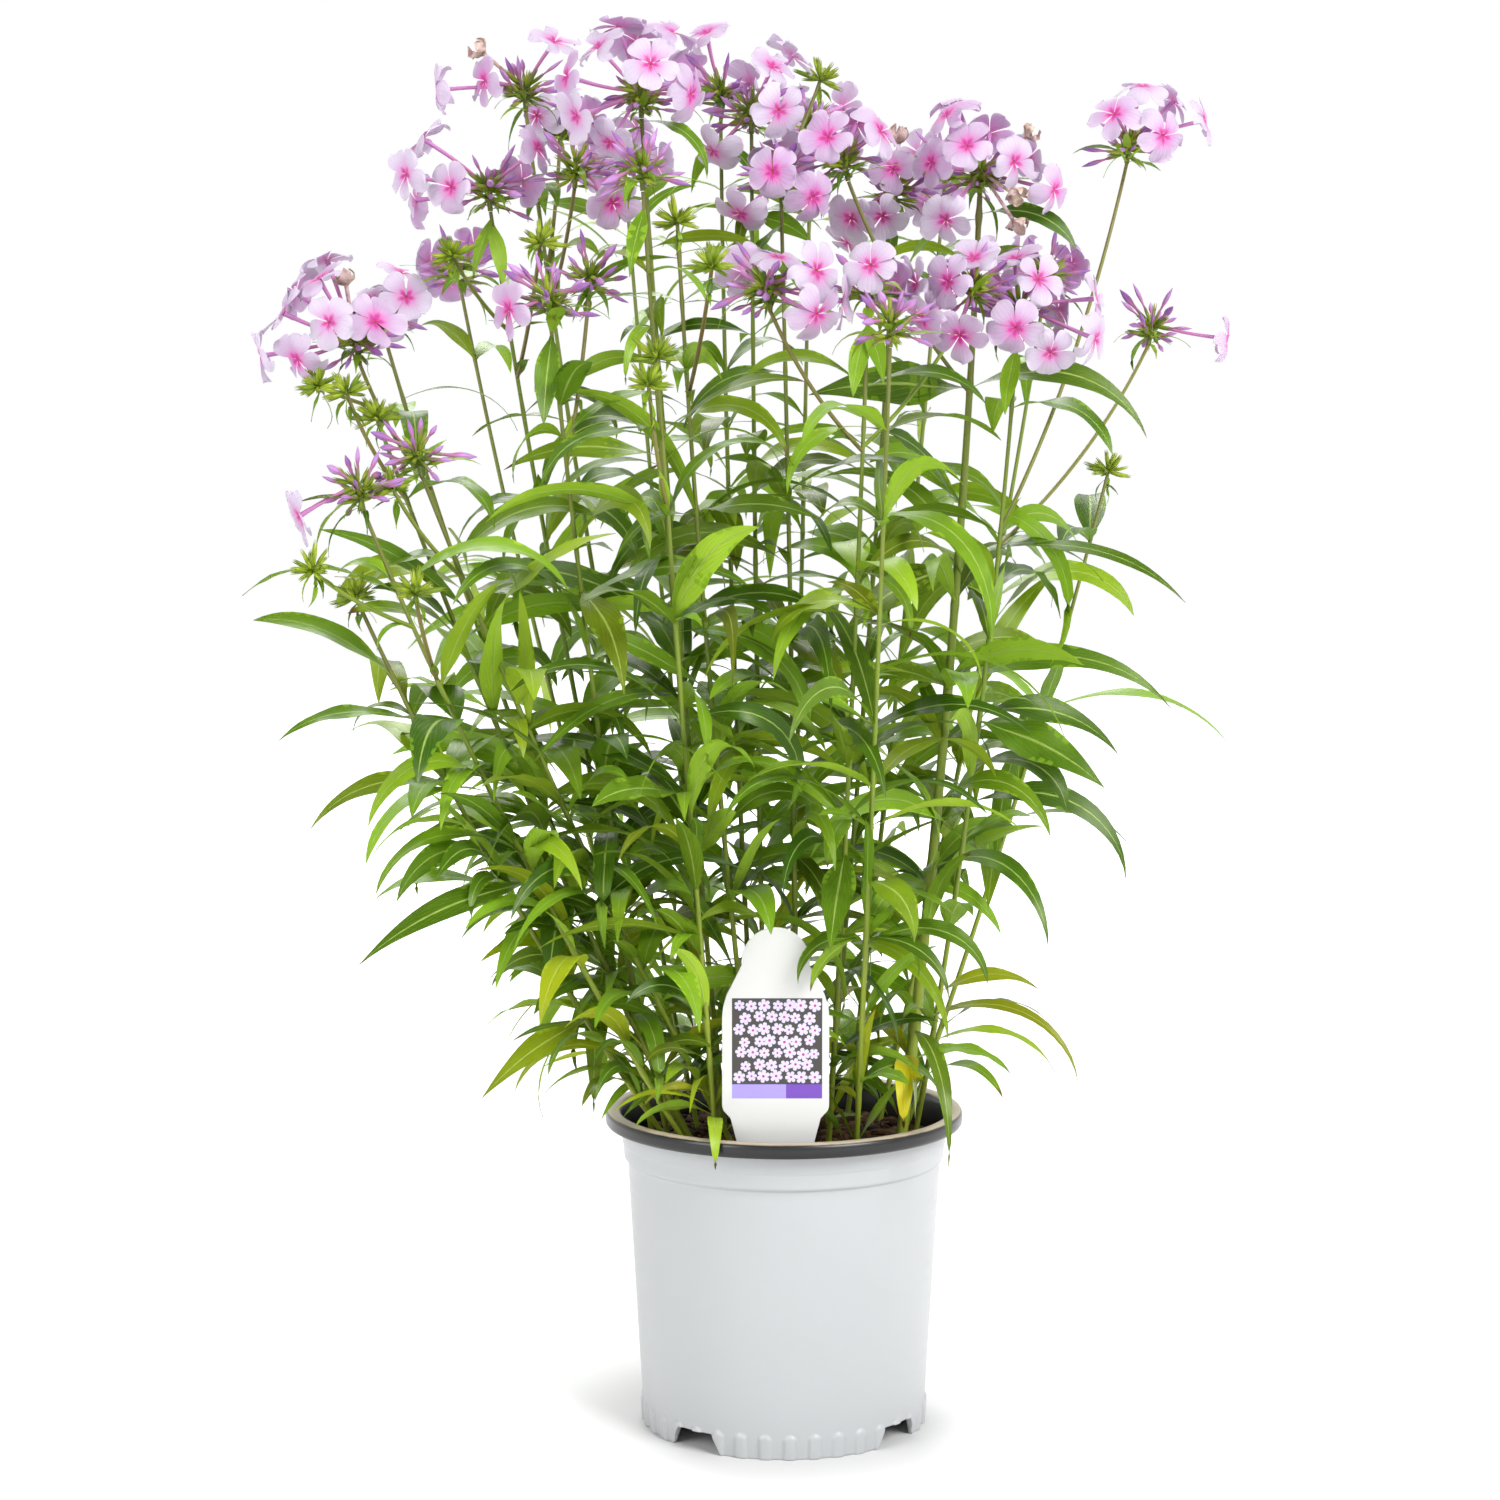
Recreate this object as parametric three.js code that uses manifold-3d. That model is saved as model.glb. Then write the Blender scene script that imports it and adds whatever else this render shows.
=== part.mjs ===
// A garden phlox in a nursery pot: leafy stems standing in holes in the soil, flower heads
// of five-petalled flowers on slender tubes, and a plain plant label pushed into the soil.
// Millimetres, +Z up. The origin is on the pot's axis, on the surface that the pot stands on.

import * as THREE from "three";
import { mergeVertices } from "three/addons/utils/BufferGeometryUtils.js";
import Module from "manifold-3d";

const wasm = await Module();
wasm.setup();

// ---------------------------------------------------------------- driving dimensions

const POT = {
  baseRadius: 65,
  collarHeight: 122.9, // the stacking step under the rim
  collarRadius: 72.3,
  collarTopRadius: 75,
  rimRadius: 82.5,
  rimBottom: 139.1,
  rimTop: 146,
  wall: 1.8,
  floorHeight: 9.5, // the floor stands above the drainage notches
  floorThickness: 2,
  sides: 32,
};
const NOTCHES = { count: 4, firstAngle: -38.3, halfWidthFoot: 14, halfWidthTop: 9, height: 9 };
const SOIL = { edgeHeight: 131, crown: 3, clearance: 0.3, sides: 16 };
const HOLE = { stemClearance: 0.52, labelClearance: 0.35, overrun: 14 };
const LABEL = {
  centre: -4.4,
  back: -62,
  thickness: 0.8,
  top: 238.4,
  topRadius: 15,
  shoulderHeight: 206,
  halfWidth: 23.6,
  waistHeight: 155.5,
  neckHalfWidth: 19.9,
  rimHeight: 140.5,
  rimHalfWidth: 16.5,
  tip: 104,
  tipHalfWidth: 7,
};
const STEM = { sides: 4, footRadius: 1.9, topRadius: 1.25, spans: 5, foot: 24 };
// A side stalk turns upwards after these shares of its way out and of its way up.
const STALK = { sides: 3, footRadius: 0.95, topRadius: 0.85, spans: 3, turnOut: 0.62, turnUp: 0.42 };
const SEAT_GAP = 0.3; // between a head's stalk and the stem that carries it
const UPTURN = 0.8; // how strongly heads and clusters turn up from the way their stalk arrives
const CORE = { rise: 11, radius: 5.5 };
// A petal is full from lobeFrom to lobeTo, as shares of its fifth of the flower.
const FLOWER = {
  petals: 5,
  radius: 12.6,
  notchRadius: 6.4,
  lobeFrom: 0.28,
  lobeTo: 0.72,
  neck: 1.6,
  tubeRadius: 1.15,
};
// A withered flower: how far out it begins to swell, is fullest and ends, as shares of its length.
const WITHERED = { sides: 5, swell: 0.72, fullest: 0.9, end: 1.08, tubeRadius: 1.1, radius: 4.4 };
const BUD = { start: 4, length: 17, radius: 1.7, tubeLimit: 0.86 }; // tubeLimit: cosine to a tube
const GREEN_BUD = { start: 2, length: 10, radius: 1.6, core: 3.6 };
const SPINDLE_WIDEST = 0.62;
const LEAF = {
  keel: -0.1,
  pathSteps: 16,
  clearance: 5.2,
  ownClearance: 3,
  rootSteps: 12, // steps that may lie near the leaf's own stem
  tries: 14,
  belowTop: 34, // the highest pair, below the stem's top
  aboveSoil: 22, // the lowest pair, above the soil, and how much that varies
  aboveSoilSwing: 24,
  crowding: 1.08,
};
// How far a drawn leaf's angles and sizes vary, and how much each new try adds.
const DRAW = {
  swing: 12,
  swingStep: 5,
  rise: 48,
  riseSwing: 18,
  riseLoss: 0.04,
  droop: 92,
  droopSwing: 34,
  curl: 14,
  lengthSwing: 0.22,
  lengthLoss: 0.025,
  widthSwing: 0.15,
};
// The plant's spread from the pot's axis, which the leaves keep within.
const SPREAD = { x: 224, y: 171, ground: 12 };
// Leaves keep off the pot: outside this radius, above this height, or well inside its mouth.
const POT_ROOM = { radius: 90, height: 152, mouthRadius: 64, overSoil: 138 };
const MERGE_DISTANCE = 0.06;
const SEED = 7;

const COLOURS = {
  pot: 0xdde1e5,
  soil: 0x2e1d12,
  label: 0xf4f4f2,
  stem: 0x4d7a26,
  head: 0xd9a3dc,
};

// ---------------------------------------------------------------- the plant's layout

// foot: where the stem leaves the soil. top: where it ends under its head.
// bow: how far its middle leans out. pairs: how many pairs of leaves it has.
// stalks: side stalks, each from a height on the stem to a head or a green cluster.
const STEMS = [
  { name: "stem_01", foot: [-44, -8], top: "head_31", bow: 16, pairs: 5,
    stalks: [[430, "head_30"], [462, "green_32"]] },
  { name: "stem_02", foot: [-40, -24], top: "green_34", bow: 14, pairs: 5, stalks: [[425, "green_33"]] },
  { name: "stem_03", foot: [-41, -39], top: "head_36", bow: 16, pairs: 5,
    stalks: [[372, "green_37"], [350, "green_39"]] },
  { name: "stem_04", foot: [-22, -27], top: "head_35", bow: 12, pairs: 5, stalks: [[392, "green_40"]] },
  { name: "stem_05", foot: [-54, 6], top: "head_05", bow: 8, pairs: 5,
    stalks: [[480, "green_10"], [500, "green_11"]] },
  { name: "stem_06", foot: [-40, 16], top: "head_01", bow: 10, pairs: 5,
    stalks: [[530, "head_06"], [516, "head_07"]] },
  { name: "stem_07", foot: [-27, 2], top: "head_02", bow: 6, pairs: 5, stalks: [] },
  { name: "stem_08", foot: [-12, -32], top: "green_09", bow: 8, pairs: 5, stalks: [[470, "green_16"]] },
  { name: "stem_09", foot: [-12, 14], top: "head_03", bow: 6, pairs: 5, stalks: [[535, "green_17"]] },
  { name: "stem_10", foot: [-8, -8], top: "head_04", bow: 4, pairs: 5, stalks: [] },
  { name: "stem_11", foot: [6, -18], top: "head_18", bow: -4, pairs: 5, stalks: [] },
  { name: "stem_12", foot: [-60, -14], top: "head_12", bow: 6, pairs: 5, stalks: [[440, "head_13"]] },
  { name: "stem_13", foot: [-30, -10], top: "head_08", bow: 6, pairs: 5, stalks: [] },
  { name: "stem_14", foot: [-30, -46], top: "green_14", bow: 4, pairs: 5, stalks: [[420, "green_15"]] },
  { name: "stem_15", foot: [20, -24], top: "head_24", bow: 6, pairs: 5,
    stalks: [[446, "head_23"], [448, "head_25"]] },
  { name: "stem_16", foot: [32, -38], top: "head_27", bow: 6, pairs: 5, stalks: [] },
  { name: "stem_17", foot: [20, 8], top: "head_20", bow: 6, pairs: 5, stalks: [] },
  { name: "stem_18", foot: [53, -18], top: "head_21", bow: 10, thick: 2.7, pairs: 5,
    stalks: [[474, "head_19"]] },
  { name: "stem_19", foot: [61, 4], top: "head_26", bow: 12, pairs: 5,
    stalks: [[412, "head_28"], [405, "head_29"]] },
  { name: "stem_20", foot: [58, 24], top: "green_22", bow: 12, pairs: 4, stalks: [] },
  { name: "stem_21", foot: [-50, -26], top: "green_38", bow: 16, pairs: 5, stalks: [] },
  { name: "stem_22", foot: [-30, 38], top: "head_41", bow: 10, pairs: 4, stalks: [] },
  { name: "stem_23", foot: [2, 34], top: "head_42", bow: 10, pairs: 4, stalks: [] },
  { name: "stem_24", foot: [30, 30], top: "head_43", bow: 10, pairs: 4, stalks: [] },
  { name: "stem_25", foot: [-52, 28], top: "head_44", bow: 14, pairs: 4, stalks: [] },
  { name: "stem_26", foot: [46, 36], top: "head_45", bow: 12, pairs: 4, stalks: [] },
];

// Each head: where its stalk begins, how many buds it has, and the throats of its flowers.
const HEADS = [
  { name: "head_01", base: [-118, 20, 602], buds: 3,
    flowers: [[-104, 8, 632], [-136, 10, 615], [-158, 12, 611]],
    withered: [[-141, 22, 632]] },
  { name: "head_02", base: [-63, -40, 591], buds: 4,
    flowers: [[-81, -52, 620], [-73, -38, 631], [-58, -70, 610], [-49, -46, 627], [-90, -62, 589],
      [-95, -48, 608], [-66, -18, 628], [-41, -56, 599], [-76, -60, 578]] },
  { name: "head_03", base: [-29, 12, 600], buds: 3,
    flowers: [[-35, -3, 634], [-16, 28, 616], [-47, 28, 621]] },
  { name: "head_04", base: [-15, -18, 587], buds: 3,
    flowers: [[-6, -36, 614], [3, -8, 623], [-3, -44, 594], [-32, -32, 578]] },
  { name: "head_05", base: [-131, -20, 553], buds: 6,
    flowers: [[-160, -26, 584], [-166, -40, 567], [-165, -12, 559], [-146, -44, 561],
      [-109, -34, 579], [-118, -4, 569]] },
  { name: "head_06", base: [-105, 55, 591], buds: 3, flowers: [[-115, 43, 604], [-92, 69, 606]] },
  { name: "head_07", base: [-93, -30, 562], buds: 3, flowers: [[-75, -54, 553]] },
  { name: "head_08", base: [-61, -80, 555], buds: 4, flowers: [] },
  { name: "head_12", base: [-99, -100, 498], buds: 5, flowers: [[-115, -116, 503]] },
  { name: "head_13", base: [-85, -68, 510], buds: 3, flowers: [] },
  { name: "head_18", base: [-2, -32, 558], buds: 3,
    flowers: [[-6, -58, 566], [-20, -48, 549], [12, -52, 556], [-4, -26, 579], [3, -8, 573]] },
  { name: "head_19", base: [28, -22, 566], buds: 3,
    flowers: [[18, -48, 582], [42, -30, 587], [32, -8, 593]] },
  { name: "head_20", base: [51, 25, 559], buds: 3,
    flowers: [[49, 7, 575], [30, -1, 552], [44, -1, 553], [29, 19, 543], [65, 43, 565]],
    withered: [[53, 21, 591], [64, 15, 575]] },
  { name: "head_21", base: [88, 0, 562], buds: 4,
    flowers: [[80, -28, 581], [77, 2, 604], [72, -16, 596], [65, -16, 575], [102, -18, 575],
      [120, -16, 563], [94, 22, 593], [71, -24, 549], [112, 18, 582]],
    withered: [[113, -2, 591], [103, -24, 559], [106, -12, 546]] },
  { name: "head_23", base: [-7, -90, 504], buds: 4,
    flowers: [[12, -112, 519], [12, -116, 501], [-4, -96, 526], [-19, -72, 522], [23, -94, 508]] },
  { name: "head_24", base: [35, -68, 507], buds: 3, flowers: [[35, -92, 523], [47, -56, 517]] },
  { name: "head_25", base: [79, -50, 509], buds: 4,
    flowers: [[58, -76, 502], [56, -62, 518], [69, -70, 518], [74, -72, 495], [81, -58, 529],
      [64, -36, 507]] },
  { name: "head_26", base: [103, -28, 500], buds: 4,
    flowers: [[115, -52, 489], [135, -48, 495], [101, -36, 531], [110, -48, 521], [99, -60, 499],
      [122, -20, 510], [137, -30, 514], [95, -12, 519]] },
  { name: "head_27", base: [42, -118, 487], buds: 4, flowers: [] },
  { name: "head_28", base: [162, 60, 584], buds: 3,
    flowers: [[153, 38, 604], [168, 54, 619], [176, 38, 594], [185, 68, 614], [197, 52, 603]] },
  { name: "head_29", base: [180, 110, 502], buds: 4, flowers: [[218, 106, 505]] },
  { name: "head_30", base: [-183, -70, 483], buds: 3,
    flowers: [[-192, -98, 499], [-198, -84, 518], [-198, -60, 528], [-211, -64, 514],
      [-214, -80, 504], [-174, -88, 500], [-207, -88, 484], [-224, -78, 486]],
    withered: [[-189, -70, 521]] },
  { name: "head_31", base: [-177, -30, 496], buds: 3,
    flowers: [[-165, -52, 513], [-169, -34, 525], [-183, -36, 513], [-177, -10, 509]] },
  { name: "head_35", base: [-152, -110, 434], buds: 5, flowers: [] },
  { name: "head_36", base: [-174, -130, 420], buds: 3, flowers: [[-199, -138, 418]] },
  { name: "head_41", base: [-77, 115, 584], buds: 3,
    flowers: [[-95, 129, 596], [-71, 123, 609], [-62, 133, 592], [-87, 141, 587]] },
  { name: "head_42", base: [14, 112, 601], buds: 3,
    flowers: [[4, 122, 622], [30, 126, 620], [13, 138, 608], [32, 132, 598]] },
  { name: "head_43", base: [79, 105, 578], buds: 3,
    flowers: [[67, 119, 597], [93, 117, 599], [85, 131, 586]] },
  { name: "head_44", base: [-155, 85, 527], buds: 3,
    flowers: [[-171, 99, 541], [-150, 101, 550], [-164, 111, 533]] },
  { name: "head_45", base: [128, 100, 528], buds: 3,
    flowers: [[117, 116, 545], [143, 116, 542], [133, 128, 532]] },
];

// Clusters of green calyces without flowers, each fused to its stem, with its number of calyces.
const GREENS = {
  green_09: [-47, -60, 544, 7],
  green_10: [-105, -74, 534, 4],
  green_11: [-144, -60, 530, 4],
  green_14: [-54, -120, 483, 5],
  green_15: [-57, -132, 471, 4],
  green_16: [-31, -140, 518, 4],
  green_17: [17, 42, 620, 5],
  green_22: [161, 110, 440, 4],
  green_32: [-199, -86, 473, 4],
  green_33: [-184, -104, 469, 4],
  green_34: [-173, -92, 459, 5],
  green_37: [-192, -151, 396, 4],
  green_38: [-180, -112, 384, 5],
  green_39: [-151, -150, 387, 4],
  green_40: [-163, -120, 429, 4],
};

// Leaves with a place of their own: stem, height, azimuth, rise, droop, length, width.
const SPECIAL_LEAVES = [
  ["stem_18", 476, 184, 8, 24, 74, 22],
  ["stem_18", 476, -6, 26, 95, 94, 15],
  ["stem_18", 397, 204, -14, 34, 68, 18],
  ["stem_18", 399, 166, 72, 96, 84, 13],
  ["stem_18", 397, 14, 30, 84, 78, 9],
  ["stem_18", 340, -4, 32, 84, 112, 15],
  ["stem_18", 340, 176, 36, 88, 52, 13],
  ["stem_18", 257, -50, 32, 118, 96, 13],
  ["stem_18", 186, -18, 36, 118, 96, 8],
  ["stem_18", 184, -78, 8, 112, 92, 10],
  ["stem_19", 404, -20, 10, 58, 92, 10],
  ["stem_19", 326, -34, -10, 30, 70, 20],
  ["stem_19", 330, 14, 12, 66, 74, 15],
  ["stem_19", 288, -8, 24, 112, 94, 14],
  ["stem_20", 272, 2, 22, 106, 84, 8],
  ["stem_01", 470, 10, 28, 98, 60, 7],
  ["stem_13", 444, 196, 16, 48, 72, 15],
  ["stem_08", 418, 240, 12, 62, 72, 11],
  ["stem_08", 420, -24, 16, 44, 60, 14],
  ["stem_12", 386, -62, -16, 66, 64, 16],
  ["stem_11", 362, -68, 6, 58, 66, 17],
  ["stem_21", 332, 200, 20, 62, 62, 11],
  ["stem_21", 305, 190, 12, 70, 66, 12],
  ["stem_21", 196, 235, -8, 24, 76, 13],
  ["stem_03", 262, 215, -4, 34, 92, 15],
  ["stem_02", 285, 185, 10, 60, 70, 12],
  ["stem_02", 256, 255, -40, 46, 50, 15],
  ["stem_01", 219, 262, -46, 50, 76, 12],
  ["stem_12", 219, 178, -7, 61, 70, 8],
  ["stem_04", 172, 197, -20, 30, 38, 9],
  ["stem_16", 232, 200, 25, 120, 44, 11],
  ["stem_16", 234, -24, 10, 96, 52, 10],
  ["stem_16", 260, -50, 6, 104, 44, 14],
  ["stem_15", 269, -100, -32, 20, 59, 16],
];

// ---------------------------------------------------------------- small tools

// A seeded draw of numbers from 0 to 1.
function seeded(seed) {
  let state = (SEED * 7919 + seed * 104729) >>> 0;
  return () => {
    state = (Math.imul(state, 1664525) + 1013904223) >>> 0;
    return (state >>> 8) / 16777216;
  };
}

const radians = (degrees) => (degrees * Math.PI) / 180;
const vector = (x, y, z) => new THREE.Vector3(x, y, z);
const along = (point, direction, distance) => point.clone().addScaledVector(direction, distance);

// Two directions square to the given one and to each other.
function square(direction) {
  const upright = Math.abs(direction.z) > 0.7;
  const helper = upright ? vector(1, 0, 0) : vector(0, 0, 1);
  const u = helper.addScaledVector(direction, -helper.dot(direction)).normalize();
  return [u, direction.clone().cross(u)];
}

function ring(centre, direction, radius, sides, turn = 0) {
  const [u, v] = square(direction);
  return Array.from({ length: sides }, (_, i) => {
    const angle = turn + (2 * Math.PI * i) / sides;
    return along(along(centre, u, radius * Math.cos(angle)), v, radius * Math.sin(angle));
  });
}

// A closed solid through rings of points. A ring of one point closes an end. Faces in the
// second half of a ring are split the other way round, so a blade's two sides match.
function loft(rings) {
  const triangles = [];
  const starts = [];
  let count = 0;
  for (const points of rings) {
    starts.push(count);
    count += points.length;
  }
  for (let i = 0; i + 1 < rings.length; i++) {
    const near = rings[i].length;
    const far = rings[i + 1].length;
    const steps = Math.max(near, far);
    for (let k = 0; k < steps; k++) {
      const a = starts[i] + Math.floor((k * near) / steps);
      const b = starts[i] + (Math.floor(((k + 1) * near) / steps) % near);
      const c = starts[i + 1] + Math.floor((k * far) / steps);
      const d = starts[i + 1] + (Math.floor(((k + 1) * far) / steps) % far);
      const mirrored = near === far && k >= steps / 2;
      if (a !== b) triangles.push(a, b, mirrored ? c : d);
      if (c !== d) triangles.push(mirrored ? b : a, d, c);
    }
  }
  const last = starts.at(-1);
  for (let k = 1; k + 1 < rings[0].length; k++) triangles.push(0, k + 1, k);
  for (let k = 1; k + 1 < rings.at(-1).length; k++) triangles.push(last, last + k, last + k + 1);
  const geometry = new THREE.BufferGeometry();
  geometry.setAttribute("position", new THREE.Float32BufferAttribute(
    rings.flat().flatMap((point) => point.toArray()), 3));
  geometry.setIndex(triangles);
  return geometry;
}

function toSolid(geometry) {
  geometry.deleteAttribute("normal");
  geometry.deleteAttribute("uv");
  const merged = mergeVertices(geometry, 1e-4);
  return new wasm.Manifold(new wasm.Mesh({
    numProp: 3,
    vertProperties: merged.attributes.position.array,
    triVerts: new Uint32Array(merged.index.array),
  }));
}

function toGeometry(solid) {
  const mesh = solid.getMesh();
  const geometry = new THREE.BufferGeometry();
  geometry.setAttribute("position", new THREE.BufferAttribute(mesh.vertProperties, 3));
  geometry.setIndex(new THREE.BufferAttribute(mesh.triVerts, 1));
  return geometry;
}

function fuse(geometries) {
  return wasm.Manifold.union(geometries.map(toSolid)).simplify(MERGE_DISTANCE);
}

// ---------------------------------------------------------------- room between the pieces

// Every organ leaves sample points; a leaf that comes too near them is bent another way.
const organs = [];

function occupy(node, points) {
  organs.push({ node, points, box: new THREE.Box3().setFromPoints(points) });
}

function crowded(node, points, nearRoot) {
  const box = new THREE.Box3().setFromPoints(points).expandByScalar(LEAF.clearance);
  for (const organ of organs) {
    if (!organ.box.intersectsBox(box)) continue;
    const own = organ.node === node;
    const least = (own ? LEAF.ownClearance : LEAF.clearance) ** 2;
    for (let i = own ? nearRoot : 0; i < points.length; i++) {
      for (const other of organ.points) {
        if (points[i].distanceToSquared(other) < least) return true;
      }
    }
  }
  return points.some(outOfBounds);
}

function outOfBounds(point) {
  const radius = Math.hypot(point.x, point.y);
  const wide = Math.abs(point.x) > SPREAD.x || Math.abs(point.y) > SPREAD.y;
  if (wide || point.z < SPREAD.ground) return true;
  if (radius > POT_ROOM.radius || point.z > POT_ROOM.height) return false;
  return radius > POT_ROOM.mouthRadius || point.z < POT_ROOM.overSoil;
}

// ---------------------------------------------------------------- stems and stalks

function sampleCurve(curve, spacing) {
  const count = Math.ceil(curve.getLength() / spacing);
  return curve.getPoints(count);
}

function tube(curve, spans, sides, footRadius, topRadius, turn = 0) {
  return Array.from({ length: spans + 1 }, (_, i) => {
    const t = i / spans;
    const radius = footRadius + (topRadius - footRadius) * t;
    return ring(curve.getPoint(t), curve.getTangent(t), radius, sides, turn);
  });
}

const heads = new Map(HEADS.map((head) => [head.name, vector(...head.base)]));

function endPoint(name) {
  return heads.get(name) ?? vector(...GREENS[name].slice(0, 3));
}

// The stem rises from its foot in a shallow bow that leans outwards.
function stemCurve(stem) {
  const foot = vector(stem.foot[0], stem.foot[1], SOIL.edgeHeight);
  const top = endPoint(stem.top);
  const lean = vector(top.x - foot.x, top.y - foot.y, 0).normalize();
  const middle = foot.clone().lerp(top, 0.5).addScaledVector(lean, stem.bow);
  return new THREE.QuadraticBezierCurve3(foot, middle, top);
}

// Where on a rising curve a height is reached.
function reach(curve, height) {
  let low = 0;
  let high = 1;
  for (let i = 0; i < 24; i++) {
    const middle = (low + high) / 2;
    if (curve.getPoint(middle).z < height) low = middle;
    else high = middle;
  }
  return low;
}

// A side stalk leaves the stem outwards and turns up to its end.
function stalkCurve(stem, height, end) {
  const start = stem.getPoint(reach(stem, height));
  const turn = vector(
    start.x + (end.x - start.x) * STALK.turnOut,
    start.y + (end.y - start.y) * STALK.turnOut,
    start.z + (end.z - start.z) * STALK.turnUp);
  return new THREE.QuadraticBezierCurve3(start, turn, end);
}

// Spread directions over a dome round an axis, by the golden angle.
function domeDirections(axis, count, lowest, random) {
  const [u, v] = square(axis);
  const golden = Math.PI * (3 - Math.sqrt(5));
  const spin = random() * 2 * Math.PI;
  return Array.from({ length: count }, (_, i) => {
    const rise = lowest + (1 - lowest) * ((i + 0.5) / count);
    const flat = Math.sqrt(Math.max(0, 1 - rise * rise));
    const angle = spin + i * golden;
    return axis.clone().multiplyScalar(rise)
      .addScaledVector(u, flat * Math.cos(angle))
      .addScaledVector(v, flat * Math.sin(angle))
      .normalize();
  });
}

// A long bud or calyx: a spindle from its root to its point.
function spindle(root, direction, start, length, radius, sides = 3) {
  const tip = along(root, direction, start + length);
  const widest = along(root, direction, start + SPINDLE_WIDEST * length);
  return { solid: loft([[root], ring(widest, direction, radius, sides), [tip]]), points: [widest, tip] };
}

function greenCluster(node, name, arrival, solids) {
  const [x, y, z, count] = GREENS[name];
  const centre = vector(x, y, z);
  const axis = arrival.clone().add(vector(0, 0, UPTURN)).normalize();
  solids.push(new THREE.OctahedronGeometry(GREEN_BUD.core, 0).translate(x, y, z));
  const random = seeded(300 + Number(name.slice(6)));
  const points = [centre];
  for (const direction of domeDirections(axis, count, -0.15, random)) {
    const length = GREEN_BUD.length * (0.85 + 0.4 * random());
    const bud = spindle(centre, direction, GREEN_BUD.start, length, GREEN_BUD.radius);
    solids.push(bud.solid);
    points.push(...bud.points);
  }
  occupy(node, points);
}

// ---------------------------------------------------------------- flower heads

// A flower: a slender tube from its root in the core, opening into five joined petals.
function flower(core, throat) {
  const direction = throat.clone().sub(core).normalize();
  const neck = along(throat, direction, -FLOWER.neck);
  const [u, v] = square(direction);
  const { notchRadius, radius: full, lobeFrom, lobeTo } = FLOWER;
  const corners = [[0, notchRadius], [lobeFrom, full], [lobeTo, full]];
  const outline = [];
  for (let petal = 0; petal < FLOWER.petals; petal++) {
    for (const [step, radius] of corners) {
      const angle = (2 * Math.PI * (petal + step)) / FLOWER.petals;
      outline.push(along(along(throat, u, radius * Math.cos(angle)), v, radius * Math.sin(angle)));
    }
  }
  const solid = loft([[core], ring(neck, direction, FLOWER.tubeRadius, 3), outline]);
  const points = [throat, ...outline, throat.clone().lerp(core, 0.3), throat.clone().lerp(core, 0.6)];
  points.push(...outline.map((point) => point.clone().lerp(throat, 0.5)));
  return { solid, points };
}

function witheredFlower(core, end) {
  const direction = end.clone().sub(core).normalize();
  const length = end.distanceTo(core);
  const { sides, tubeRadius, radius } = WITHERED;
  const limp = ring(along(core, direction, length * WITHERED.fullest), direction, radius, sides);
  const solid = loft([
    [core],
    ring(along(core, direction, length * WITHERED.swell), direction, tubeRadius, sides),
    limp,
    [along(core, direction, length * WITHERED.end)],
  ]);
  return { solid, points: [end, ...limp] };
}

// Buds stand where no flower's tube runs.
function budDirections(head, core, axis, random) {
  const tubes = head.flowers.map((throat) => vector(...throat).sub(core).normalize());
  const free = domeDirections(axis, 3 * head.buds + 4, -0.35, random).filter((direction) =>
    tubes.every((tubeDirection) => tubeDirection.dot(direction) < BUD.tubeLimit));
  const every = Math.max(1, Math.floor(free.length / head.buds));
  return free.filter((_, i) => i % every === 0).slice(0, head.buds);
}

function makeHead(head, index, arrival) {
  const base = vector(...head.base);
  const axis = arrival.clone().add(vector(0, 0, UPTURN)).normalize();
  const core = along(base, axis, CORE.rise);
  const random = seeded(100 + index);
  const seat = ring(along(base, arrival, SEAT_GAP), arrival, STEM.topRadius, STEM.sides);
  const parts = [
    loft([seat, ring(core, axis, STEM.topRadius, STEM.sides)]),
    new THREE.OctahedronGeometry(CORE.radius, 0).translate(core.x, core.y, core.z),
  ];
  const points = [base, core, along(base, axis, CORE.rise / 2)];
  const organsOfHead = [
    ...head.flowers.map((throat) => flower(core, vector(...throat))),
    ...(head.withered ?? []).map((end) => witheredFlower(core, vector(...end))),
    ...budDirections(head, core, axis, random).map((direction) =>
      spindle(core, direction, BUD.start, BUD.length * (0.7 + 0.6 * random()), BUD.radius)),
  ];
  for (const organ of organsOfHead) {
    parts.push(organ.solid);
    points.push(...organ.points);
  }
  occupy(head.name, points);
  return fuse(parts);
}

// ---------------------------------------------------------------- leaves

// How wide a leaf is along its length, as a share of its greatest width.
const leafShape = (t) => Math.sin(Math.PI * t ** 0.6) ** 1.1;

// The points of a leaf's midrib, rising from its root and arching down to its tip.
function midrib(leaf) {
  const points = [leaf.root.clone()];
  const step = leaf.length / LEAF.pathSteps;
  for (let i = 0; i < LEAF.pathSteps; i++) {
    const t = (i + 0.5) / LEAF.pathSteps;
    const rise = radians(leaf.rise - leaf.droop * t ** 1.25);
    const azimuth = radians(leaf.azimuth + leaf.curl * t);
    const flat = Math.cos(rise);
    const way = vector(flat * Math.cos(azimuth), flat * Math.sin(azimuth), Math.sin(rise));
    points.push(along(points[i], way, step));
  }
  return points;
}

// The directions along, across and out of a leaf at one of its midrib's points.
function leafFrame(points, i) {
  const next = points[Math.min(i + 1, points.length - 1)];
  const forward = next.clone().sub(points[Math.max(i - 1, 0)]).normalize();
  const flat = Math.hypot(forward.x, forward.y) || 1;
  const across = vector(-forward.y / flat, forward.x / flat, 0);
  return { forward, across, normal: forward.clone().cross(across) };
}

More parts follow.
